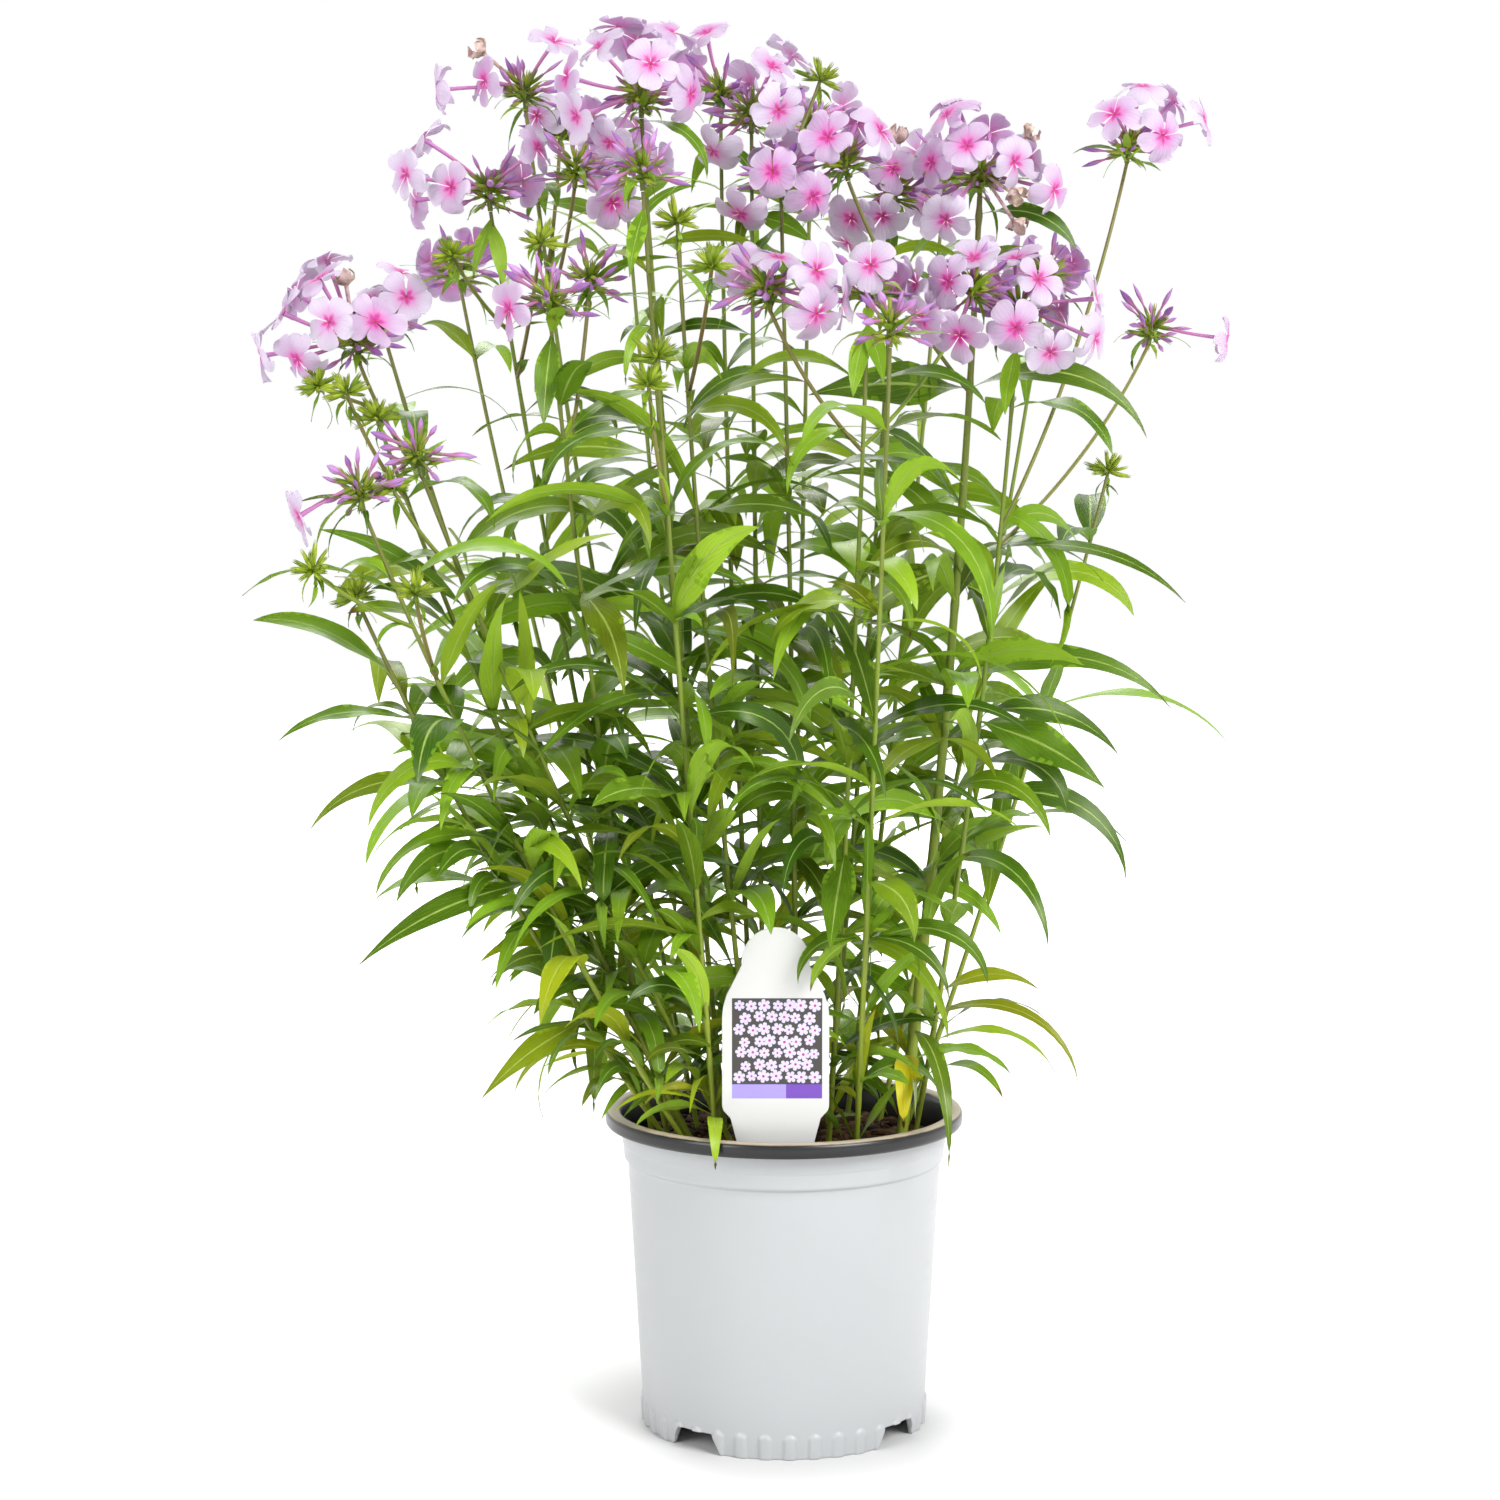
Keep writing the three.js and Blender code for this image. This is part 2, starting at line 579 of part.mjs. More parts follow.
function leafSamples(leaf, points) {
  const samples = [];
  for (let i = 1; i < points.length; i++) {
    const { across } = leafFrame(points, i);
    const half = 0.5 * leaf.width * leafShape(i / LEAF.pathSteps);
    const offsets = half > 4.5 ? [-1, -0.5, 0, 0.5, 1] : [-1, 0, 1];
    for (const offset of offsets) samples.push(along(points[i], across, offset * half));
  }
  return samples;
}

function blade(leaf, points) {
  const stops = leaf.length > 90 ? [3, 7, 12] : [4, 10];
  const rings = stops.map((i) => {
    const { across, normal } = leafFrame(points, i);
    const width = leaf.width * leafShape(i / LEAF.pathSteps);
    return [
      along(points[i], across, -width / 2),
      along(points[i], normal, LEAF.keel * width),
      along(points[i], across, width / 2),
    ];
  });
  return loft([[leaf.root], ...rings, [points.at(-1)]]);
}

// Leaf size at a height above the ground: broad in the middle, narrow below, small on top.
const LEAF_SIZES = [
  { height: 150, length: 58, width: 9 },
  { height: 220, length: 76, width: 13 },
  { height: 320, length: 84, width: 17 },
  { height: 420, length: 74, width: 16 },
  { height: 500, length: 48, width: 11 },
  { height: 600, length: 30, width: 8 },
];

function leafSize(height) {
  const next = LEAF_SIZES.findIndex((size) => size.height > height);
  if (next <= 0) return LEAF_SIZES.at(next);
  const low = LEAF_SIZES[next - 1];
  const high = LEAF_SIZES[next];
  const share = (height - low.height) / (high.height - low.height);
  return {
    length: low.length + (high.length - low.length) * share,
    width: low.width + (high.width - low.width) * share,
  };
}

// Draws a leaf, and bends it another way until it has room. Null if it finds none.
function drawLeaf(node, root, azimuth, random) {
  const size = leafSize(root.z);
  for (let attempt = 0; attempt < LEAF.tries; attempt++) {
    const swing = DRAW.swing + DRAW.swingStep * attempt;
    const vary = (amount) => amount * (2 * random() - 1);
    const leaf = {
      root,
      azimuth: azimuth + vary(swing),
      rise: DRAW.rise - DRAW.riseLoss * (root.z - LEAF_SIZES[0].height) + vary(DRAW.riseSwing),
      droop: DRAW.droop + vary(DRAW.droopSwing),
      curl: vary(DRAW.curl),
      length: size.length * (1 + vary(DRAW.lengthSwing)) * (1 - DRAW.lengthLoss * attempt),
      width: size.width * (1 + vary(DRAW.widthSwing)),
    };
    const points = midrib(leaf);
    const samples = leafSamples(leaf, points);
    if (!crowded(node, samples, LEAF.rootSteps)) {
      occupy(node, samples);
      return blade(leaf, points);
    }
  }
  return null;
}

function specialLeaf(node, root, [azimuth, rise, droop, length, width]) {
  const leaf = { root, azimuth, rise, droop, curl: 0, length, width };
  const points = midrib(leaf);
  occupy(node, leafSamples(leaf, points));
  return blade(leaf, points);
}

// Pairs of leaves, each pair turned a quarter round from the one below it.
function leafPairs(stem, curve, index) {
  const random = seeded(500 + index);
  const lowest = SOIL.edgeHeight + LEAF.aboveSoil + LEAF.aboveSoilSwing * random();
  const highest = curve.v2.z - LEAF.belowTop;
  const leaves = [];
  for (let pair = 0; pair < stem.pairs; pair++) {
    const share = pair / (stem.pairs - 1);
    const height = lowest + (highest - lowest) * share ** LEAF.crowding;
    const root = curve.getPoint(reach(curve, height));
    for (const side of [0, 180]) {
      const leaf = drawLeaf(stem.name, root, stem.turn + 90 * pair + side, random);
      if (leaf) leaves.push(leaf);
    }
  }
  return leaves;
}

// ---------------------------------------------------------------- pot, soil and label

function potWall(height) {
  const share = height / POT.collarHeight;
  return POT.baseRadius + (POT.collarRadius - POT.baseRadius) * share;
}

function makePot() {
  const { wall, rimRadius, rimBottom, rimTop } = POT;
  const floorTop = POT.floorHeight + POT.floorThickness;
  const inner = POT.collarTopRadius - wall;
  const profile = [
    [0, POT.floorHeight],
    [potWall(POT.floorHeight) - wall, POT.floorHeight],
    [POT.baseRadius - wall, 0],
    [POT.baseRadius, 0],
    [POT.collarRadius, POT.collarHeight],
    [POT.collarRadius + 1.7, POT.collarHeight + 1],
    [POT.collarTopRadius, rimBottom],
    [rimRadius, rimBottom],
    [rimRadius, rimTop - 1.5],
    [rimRadius - 2, rimTop],
    [inner, rimTop],
    [potWall(POT.collarHeight) - wall, POT.collarHeight - 2],
    [potWall(floorTop) - wall, floorTop],
    [0, floorTop],
  ].map(([radius, height]) => new THREE.Vector2(radius, height));
  const shell = toSolid(new THREE.LatheGeometry(profile, POT.sides).rotateX(Math.PI / 2));
  return shell.subtract(wasm.Manifold.union(notchCutters()));
}

// Drainage notches: sloping-sided openings through the foot of the wall and the floor's edge.
function notchCutters() {
  const shape = new THREE.Shape([
    new THREE.Vector2(-NOTCHES.halfWidthFoot, -1),
    new THREE.Vector2(NOTCHES.halfWidthFoot, -1),
    new THREE.Vector2(NOTCHES.halfWidthTop, NOTCHES.height),
    new THREE.Vector2(-NOTCHES.halfWidthTop, NOTCHES.height),
  ]);
  return Array.from({ length: NOTCHES.count }, (_, i) => {
    const cutter = new THREE.ExtrudeGeometry(shape, { depth: 30, bevelEnabled: false });
    cutter.rotateX(Math.PI / 2).translate(0, 80, 0);
    return toSolid(cutter.rotateZ(radians(NOTCHES.firstAngle + (360 * i) / NOTCHES.count)));
  });
}

function makeSoil(holes) {
  const { clearance, edgeHeight, crown } = SOIL;
  const bottom = POT.floorHeight + POT.floorThickness + clearance;
  const gap = POT.wall + clearance + 0.6;
  const profile = [
    [0, bottom],
    [potWall(bottom) - gap, bottom],
    [potWall(POT.collarHeight) - gap, POT.collarHeight - 2],
    [potWall(POT.collarHeight) - gap, edgeHeight],
    [40, edgeHeight + crown * 0.6],
    [0, edgeHeight + crown],
  ].map(([radius, height]) => new THREE.Vector2(radius, height));
  const heap = toSolid(new THREE.LatheGeometry(profile, SOIL.sides).rotateX(Math.PI / 2));
  return heap.subtract(wasm.Manifold.union(holes));
}

function labelShape(grow) {
  const shape = new THREE.Shape();
  const { halfWidth, topRadius } = LABEL;
  shape.moveTo(-LABEL.tipHalfWidth - grow, LABEL.tip - grow);
  shape.lineTo(LABEL.tipHalfWidth + grow, LABEL.tip - grow);
  shape.lineTo(LABEL.rimHalfWidth + grow, LABEL.rimHeight);
  shape.lineTo(LABEL.neckHalfWidth + grow, LABEL.waistHeight - 2);
  shape.lineTo(halfWidth + grow, LABEL.waistHeight + 2);
  shape.lineTo(halfWidth, LABEL.shoulderHeight - 3);
  shape.lineTo(halfWidth - 2, LABEL.shoulderHeight + 3);
  shape.absarc(0, LABEL.top - topRadius, topRadius, radians(-8), radians(188), false);
  shape.lineTo(-halfWidth + 2, LABEL.shoulderHeight + 3);
  shape.lineTo(-halfWidth, LABEL.shoulderHeight - 3);
  shape.lineTo(-halfWidth - grow, LABEL.waistHeight + 2);
  shape.lineTo(-LABEL.neckHalfWidth - grow, LABEL.waistHeight - 2);
  shape.lineTo(-LABEL.rimHalfWidth - grow, LABEL.rimHeight);
  return shape;
}

function labelPlate(grow) {
  const depth = LABEL.thickness + 2 * grow;
  const options = { depth, bevelEnabled: false, curveSegments: 8 };
  const plate = new THREE.ExtrudeGeometry(labelShape(grow), options);
  return plate.rotateX(Math.PI / 2).translate(LABEL.centre, LABEL.back + grow, 0);
}

function occupyLabel() {
  const points = [];
  for (let z = LABEL.rimHeight; z <= LABEL.top; z += 5) {
    for (let x = -LABEL.halfWidth; x <= LABEL.halfWidth; x += 5.9) {
      points.push(vector(LABEL.centre + x, LABEL.back, z));
    }
  }
  occupy("label", points);
}

// ---------------------------------------------------------------- the whole plant

const phlox = new THREE.Group();
phlox.name = "phlox_in_pot";

function addPiece(name, geometry, colour, roughness) {
  const material = new THREE.MeshStandardMaterial({ color: colour, roughness, metalness: 0 });
  const mesh = new THREE.Mesh(geometry, material);
  mesh.name = name;
  phlox.add(mesh);
}

const stems = STEMS.map((stem, index) => (
  { ...stem, curve: stemCurve(stem), turn: 360 * seeded(700 + index)(), solids: [] }));
const arrivals = new Map();
occupyLabel();

for (const stem of stems) {
  const thick = stem.thick ?? STEM.footRadius;
  const start = stem.curve.getTangent(0);
  const foot = along(stem.curve.v0, start, -STEM.foot);
  const turn = radians(stem.turn + 45); // the leaves grow from the middle of the stem's faces
  const rings = tube(stem.curve, STEM.spans, STEM.sides, thick, STEM.topRadius, turn);
  stem.solids.push(loft([ring(foot, start, thick, STEM.sides, turn), ...rings]));
  const hole = [along(foot, start, -SEAT_GAP), along(stem.curve.v0, start, HOLE.overrun)];
  const holeRadius = thick + HOLE.stemClearance;
  stem.hole = toSolid(loft(hole.map((point) => ring(point, start, holeRadius, STEM.sides, turn))));
  arrivals.set(stem.top, stem.curve.getTangent(1));
  occupy(stem.name, sampleCurve(stem.curve, 5));
  for (const [height, end] of stem.stalks) {
    const stalk = stalkCurve(stem.curve, height, endPoint(end));
    stem.solids.push(loft(tube(stalk, STALK.spans, STALK.sides, STALK.footRadius, STALK.topRadius)));
    arrivals.set(end, stalk.getTangent(1));
    occupy(stem.name, sampleCurve(stalk, 5));
    if (end in GREENS) greenCluster(stem.name, end, arrivals.get(end), stem.solids);
  }
  if (stem.top in GREENS) greenCluster(stem.name, stem.top, arrivals.get(stem.top), stem.solids);
}

const headSolids = HEADS.map((head, index) => makeHead(head, index, arrivals.get(head.name)));

for (const [name, height, ...form] of SPECIAL_LEAVES) {
  const stem = stems.find((candidate) => candidate.name === name);
  stem.solids.push(specialLeaf(name, stem.curve.getPoint(reach(stem.curve, height)), form));
}
stems.forEach((stem, index) => stem.solids.push(...leafPairs(stem, stem.curve, index)));

const labelSlot = toSolid(labelPlate(HOLE.labelClearance));
addPiece("pot", toGeometry(makePot()), COLOURS.pot, 0.4);
addPiece("soil", toGeometry(makeSoil([...stems.map((stem) => stem.hole), labelSlot])), COLOURS.soil, 1);
addPiece("label", labelPlate(0), COLOURS.label, 0.5);
for (const stem of stems) addPiece(stem.name, toGeometry(fuse(stem.solids)), COLOURS.stem, 0.7);
HEADS.forEach((head, index) => addPiece(head.name, toGeometry(headSolids[index]), COLOURS.head, 0.7));

export default phlox;
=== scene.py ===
import math

import bmesh
import bpy
import numpy as np
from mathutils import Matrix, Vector, noise


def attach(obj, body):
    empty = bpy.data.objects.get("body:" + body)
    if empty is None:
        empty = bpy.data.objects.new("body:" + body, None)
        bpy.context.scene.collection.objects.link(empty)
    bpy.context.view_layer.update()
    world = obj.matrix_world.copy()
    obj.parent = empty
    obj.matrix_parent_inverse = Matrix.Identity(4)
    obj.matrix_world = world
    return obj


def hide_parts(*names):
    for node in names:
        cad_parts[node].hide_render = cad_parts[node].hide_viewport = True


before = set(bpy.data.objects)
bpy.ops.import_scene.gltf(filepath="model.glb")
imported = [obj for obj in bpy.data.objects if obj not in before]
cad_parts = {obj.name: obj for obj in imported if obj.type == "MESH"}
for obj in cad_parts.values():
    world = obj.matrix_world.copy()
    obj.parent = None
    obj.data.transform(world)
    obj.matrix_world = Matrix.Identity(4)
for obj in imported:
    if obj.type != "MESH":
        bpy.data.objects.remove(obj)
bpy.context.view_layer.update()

bl_info = {
    "name": "Potted Phlox",
    "version": (1, 0, 0),
    "blender": (4, 5, 0),
    "location": "3D View > Sidebar > Phlox",
    "description": "Dresses the solids of a phlox in a nursery pot: stems, leaves, flowers, soil and label",
    "category": "Add Mesh",
}

# Sizes are in millimetres until a mesh is made. +Z is up and the origin is under the pot, on its axis.
MM = 0.001

# ---------------------------------------------------------------- sizes shared with the solids

SEED = 7
POT_SIZES = {
    "base_radius": 65.0,
    "collar_height": 122.9,
    "collar_radius": 72.3,
    "collar_top_radius": 75.0,
    "rim_radius": 82.5,
    "rim_bottom": 139.1,
    "rim_top": 146.0,
    "wall": 1.8,
    "floor": 9.5,
    "floor_thickness": 2.0,
}
# The profile of the pot over its wall, as radius and height: collar, rolled rim, and the inside under it.
COLLAR = (
    (72.45, 122.9), (73.3, 123.2), (73.85, 123.8), (74.0, 124.8), (74.35, 130), (74.4, 130.5), (74.75, 131.0),
    (74.8, 131.6), (75.1, 138.0), (75.6, 139.0),
)
RIM = (
    (76.4, 139.3), (80.5, 139.1), (81.8, 139.4), (82.35, 140.2), (82.5, 141.5), (82.5, 143.4), (82.3, 144.6),
    (81.8, 145.4), (81.0, 145.85), (79.5, 146.0), (77.5, 145.9), (76.2, 145.4), (75.4, 144.4), (75.0, 142.6),
)
UNDER_RIM = ((74.2, 140.0), (73.0, 130.0), (72.4, 124.0), (71.0, 121.0))
NOTCH = {"count": 4, "first": 51.7, "half_foot": 14.0, "half_top": 9.0, "height": 9.0}
# Where the first rib of the foot stands, in degrees.
FIRST_RIB = 276.7
SOIL_EDGE = 131.0
SOIL_CROWN = 3.0
SOIL_RADIUS = 72.0
# How far from the axis the chips and fibres lie, at most.
CHIP_FIELD = 71
FIBRE_FIELD = 62
LABEL = {
    "centre": -4.4,
    "back": -62.0,
    "thickness": 0.8,
    "top": 238.4,
    "top_radius": 15.0,
    "shoulder": 206.0,
    "half_width": 23.6,
    "waist": 155.5,
    "neck_half": 19.9,
    "rim_height": 140.5,
    "rim_half": 16.5,
    "tip": 104.0,
    "tip_half": 7.0,
}
STEM = {"top_radius": 1.25, "foot": 24.0}
# A stem with this radius or more at its foot keeps the full thickness of its solid.
THICK_STEM = 2.5
STALK = {"foot_radius": 0.95, "top_radius": 0.85, "turn_out": 0.62, "turn_up": 0.42}
UPTURN = 0.8
CORE_RISE = 11.0
FLOWER = {"petals": 5, "radius": 12.6, "notch_radius": 6.4, "lobe_from": 0.28, "lobe_to": 0.72}
WITHERED_RADIUS = 4.4
WITHERED_FULLEST = 0.9
BUD = {"start": 4.0, "length": 17.0, "radius": 1.7, "tube_limit": 0.86}
GREEN_BUD = {"start": 2.0, "length": 10.0, "radius": 1.6}
SPINDLE_WIDEST = 0.62
LEAF = {
    "keel": -0.1,
    "steps": 16,
    "clearance": 5.2,
    "own_clearance": 3.0,
    "root_samples": 12,
    "tries": 14,
    "below_top": 34.0,
    "above_soil": 22.0,
    "above_soil_swing": 24.0,
    "crowding": 1.08,
}
DRAW = {
    "swing": 12.0,
    "swing_step": 5.0,
    "rise": 48.0,
    "rise_swing": 18.0,
    "rise_loss": 0.04,
    "droop": 92.0,
    "droop_swing": 34.0,
    "curl": 14.0,
    "length_swing": 0.22,
    "length_loss": 0.025,
    "width_swing": 0.15,
}
SPREAD = {"x": 224.0, "y": 171.0, "ground": 12.0}
POT_ROOM = {"radius": 90.0, "height": 152.0, "mouth": 64.0, "over_soil": 138.0}

# Leaf size by height: broad in the middle of the plant, narrow below, small on top.
LEAF_SIZES = ((150, 58, 9), (220, 76, 13), (320, 84, 17), (420, 74, 16), (500, 48, 11), (600, 30, 8))

# Stems: foot in the soil, what it carries on top, how far it bows out, pairs of leaves, side stalks, and
# the radius at its foot.
STEMS = (
    ("stem_01", (-44, -8), "head_31", 16, 5, ((430, "head_30"), (462, "green_32")), 1.9),
    ("stem_02", (-40, -24), "green_34", 14, 5, ((425, "green_33"),), 1.9),
    ("stem_03", (-41, -39), "head_36", 16, 5, ((372, "green_37"), (350, "green_39")), 1.9),
    ("stem_04", (-22, -27), "head_35", 12, 5, ((392, "green_40"),), 1.9),
    ("stem_05", (-54, 6), "head_05", 8, 5, ((480, "green_10"), (500, "green_11")), 1.9),
    ("stem_06", (-40, 16), "head_01", 10, 5, ((530, "head_06"), (516, "head_07")), 1.9),
    ("stem_07", (-27, 2), "head_02", 6, 5, (), 1.9),
    ("stem_08", (-12, -32), "green_09", 8, 5, ((470, "green_16"),), 1.9),
    ("stem_09", (-12, 14), "head_03", 6, 5, ((535, "green_17"),), 1.9),
    ("stem_10", (-8, -8), "head_04", 4, 5, (), 1.9),
    ("stem_11", (6, -18), "head_18", -4, 5, (), 1.9),
    ("stem_12", (-60, -14), "head_12", 6, 5, ((440, "head_13"),), 1.9),
    ("stem_13", (-30, -10), "head_08", 6, 5, (), 1.9),
    ("stem_14", (-30, -46), "green_14", 4, 5, ((420, "green_15"),), 1.9),
    ("stem_15", (20, -24), "head_24", 6, 5, ((446, "head_23"), (448, "head_25")), 1.9),
    ("stem_16", (32, -38), "head_27", 6, 5, (), 1.9),
    ("stem_17", (20, 8), "head_20", 6, 5, (), 1.9),
    ("stem_18", (53, -18), "head_21", 10, 5, ((474, "head_19"),), 2.7),
    ("stem_19", (61, 4), "head_26", 12, 5, ((412, "head_28"), (405, "head_29")), 1.9),
    ("stem_20", (58, 24), "green_22", 12, 4, (), 1.9),
    ("stem_21", (-50, -26), "green_38", 16, 5, (), 1.9),
    ("stem_22", (-30, 38), "head_41", 10, 4, (), 1.9),
    ("stem_23", (2, 34), "head_42", 10, 4, (), 1.9),
    ("stem_24", (30, 30), "head_43", 10, 4, (), 1.9),
    ("stem_25", (-52, 28), "head_44", 14, 4, (), 1.9),
    ("stem_26", (46, 36), "head_45", 12, 4, (), 1.9),
)

# Heads: where the stalk begins, how many buds, the throats of the flowers, the ends of the withered ones.
HEADS = (
    ("head_01", (-118, 20, 602), 3, ((-104, 8, 632), (-136, 10, 615), (-158, 12, 611)), ((-141, 22, 632),)),
    ("head_02", (-63, -40, 591), 4, (
        (-81, -52, 620), (-73, -38, 631), (-58, -70, 610), (-49, -46, 627), (-90, -62, 589),
        (-95, -48, 608), (-66, -18, 628), (-41, -56, 599), (-76, -60, 578)), ()),
    ("head_03", (-29, 12, 600), 3, ((-35, -3, 634), (-16, 28, 616), (-47, 28, 621)), ()),
    ("head_04", (-15, -18, 587), 3, ((-6, -36, 614), (3, -8, 623), (-3, -44, 594), (-32, -32, 578)), ()),
    ("head_05", (-131, -20, 553), 6, (
        (-160, -26, 584), (-166, -40, 567), (-165, -12, 559), (-146, -44, 561), (-109, -34, 579),
        (-118, -4, 569)), ()),
    ("head_06", (-105, 55, 591), 3, ((-115, 43, 604), (-92, 69, 606)), ()),
    ("head_07", (-93, -30, 562), 3, ((-75, -54, 553),), ()),
    ("head_08", (-61, -80, 555), 4, (), ()),
    ("head_12", (-99, -100, 498), 5, ((-115, -116, 503),), ()),
    ("head_13", (-85, -68, 510), 3, (), ()),
    ("head_18", (-2, -32, 558), 3, (
        (-6, -58, 566), (-20, -48, 549), (12, -52, 556), (-4, -26, 579), (3, -8, 573)), ()),
    ("head_19", (28, -22, 566), 3, ((18, -48, 582), (42, -30, 587), (32, -8, 593)), ()),
    ("head_20", (51, 25, 559), 3, (
        (49, 7, 575), (30, -1, 552), (44, -1, 553), (29, 19, 543), (65, 43, 565)),
        ((53, 21, 591), (64, 15, 575))),
    ("head_21", (88, 0, 562), 4, (
        (80, -28, 581), (77, 2, 604), (72, -16, 596), (65, -16, 575), (102, -18, 575), (120, -16, 563),
        (94, 22, 593), (71, -24, 549), (112, 18, 582)),
        ((113, -2, 591), (103, -24, 559), (106, -12, 546))),
    ("head_23", (-7, -90, 504), 4, (
        (12, -112, 519), (12, -116, 501), (-4, -96, 526), (-19, -72, 522), (23, -94, 508)), ()),
    ("head_24", (35, -68, 507), 3, ((35, -92, 523), (47, -56, 517)), ()),
    ("head_25", (79, -50, 509), 4, (
        (58, -76, 502), (56, -62, 518), (69, -70, 518), (74, -72, 495), (81, -58, 529), (64, -36, 507)), ()),
    ("head_26", (103, -28, 500), 4, (
        (115, -52, 489), (135, -48, 495), (101, -36, 531), (110, -48, 521), (99, -60, 499),
        (122, -20, 510), (137, -30, 514), (95, -12, 519)), ()),
    ("head_27", (42, -118, 487), 4, (), ()),
    ("head_28", (162, 60, 584), 3, (
        (153, 38, 604), (168, 54, 619), (176, 38, 594), (185, 68, 614), (197, 52, 603)), ()),
    ("head_29", (180, 110, 502), 4, ((218, 106, 505),), ()),
    ("head_30", (-183, -70, 483), 3, (
        (-192, -98, 499), (-198, -84, 518), (-198, -60, 528), (-211, -64, 514), (-214, -80, 504),
        (-174, -88, 500), (-207, -88, 484), (-224, -78, 486)), ((-189, -70, 521),)),
    ("head_31", (-177, -30, 496), 3, (
        (-165, -52, 513), (-169, -34, 525), (-183, -36, 513), (-177, -10, 509)), ()),
    ("head_35", (-152, -110, 434), 5, (), ()),
    ("head_36", (-174, -130, 420), 3, ((-199, -138, 418),), ()),
    ("head_41", (-77, 115, 584), 3, (
        (-95, 129, 596), (-71, 123, 609), (-62, 133, 592), (-87, 141, 587)), ()),
    ("head_42", (14, 112, 601), 3, (
        (4, 122, 622), (30, 126, 620), (13, 138, 608), (32, 132, 598)), ()),
    ("head_43", (79, 105, 578), 3, ((67, 119, 597), (93, 117, 599), (85, 131, 586)), ()),
    ("head_44", (-155, 85, 527), 3, ((-171, 99, 541), (-150, 101, 550), (-164, 111, 533)), ()),
    ("head_45", (128, 100, 528), 3, ((117, 116, 545), (143, 116, 542), (133, 128, 532)), ()),
)

# Clusters of green calyces: place, and how many calyces the solid has.
GREENS = {
    "green_09": (-47, -60, 544, 7),
    "green_10": (-105, -74, 534, 4),
    "green_11": (-144, -60, 530, 4),
    "green_14": (-54, -120, 483, 5),
    "green_15": (-57, -132, 471, 4),
    "green_16": (-31, -140, 518, 4),
    "green_17": (17, 42, 620, 5),
    "green_22": (161, 110, 440, 4),
    "green_32": (-199, -86, 473, 4),
    "green_33": (-184, -104, 469, 4),
    "green_34": (-173, -92, 459, 5),
    "green_37": (-192, -151, 396, 4),
    "green_38": (-180, -112, 384, 5),
    "green_39": (-151, -150, 387, 4),
    "green_40": (-163, -120, 429, 4),
}

# Leaves with a place of their own: stem, height, azimuth, rise, droop, length, width.
SPECIAL_LEAVES = (
    ("stem_18", 476, 184, 8, 24, 74, 22),
    ("stem_18", 476, -6, 26, 95, 94, 15),
    ("stem_18", 397, 204, -14, 34, 68, 18),
    ("stem_18", 399, 166, 72, 96, 84, 13),
    ("stem_18", 397, 14, 30, 84, 78, 9),
    ("stem_18", 340, -4, 32, 84, 112, 15),
    ("stem_18", 340, 176, 36, 88, 52, 13),
    ("stem_18", 257, -50, 32, 118, 96, 13),
    ("stem_18", 186, -18, 36, 118, 96, 8),
    ("stem_18", 184, -78, 8, 112, 92, 10),
    ("stem_19", 404, -20, 10, 58, 92, 10),
    ("stem_19", 326, -34, -10, 30, 70, 20),
    ("stem_19", 330, 14, 12, 66, 74, 15),
    ("stem_19", 288, -8, 24, 112, 94, 14),
    ("stem_20", 272, 2, 22, 106, 84, 8),
    ("stem_01", 470, 10, 28, 98, 60, 7),
    ("stem_13", 444, 196, 16, 48, 72, 15),
    ("stem_08", 418, 240, 12, 62, 72, 11),
    ("stem_08", 420, -24, 16, 44, 60, 14),
    ("stem_12", 386, -62, -16, 66, 64, 16),
    ("stem_11", 362, -68, 6, 58, 66, 17),
    ("stem_21", 332, 200, 20, 62, 62, 11),
    ("stem_21", 305, 190, 12, 70, 66, 12),
    ("stem_21", 196, 235, -8, 24, 76, 13),
    ("stem_03", 262, 215, -4, 34, 92, 15),
    ("stem_02", 285, 185, 10, 60, 70, 12),
    ("stem_02", 256, 255, -40, 46, 50, 15),
    ("stem_01", 219, 262, -46, 50, 76, 12),
    ("stem_12", 219, 178, -7, 61, 70, 8),
    ("stem_04", 172, 197, -20, 30, 38, 9),
    ("stem_16", 232, 200, 25, 120, 44, 11),
    ("stem_16", 234, -24, 10, 96, 52, 10),
    ("stem_16", 260, -50, 6, 104, 44, 14),
    ("stem_15", 269, -100, -32, 20, 59, 16),
)

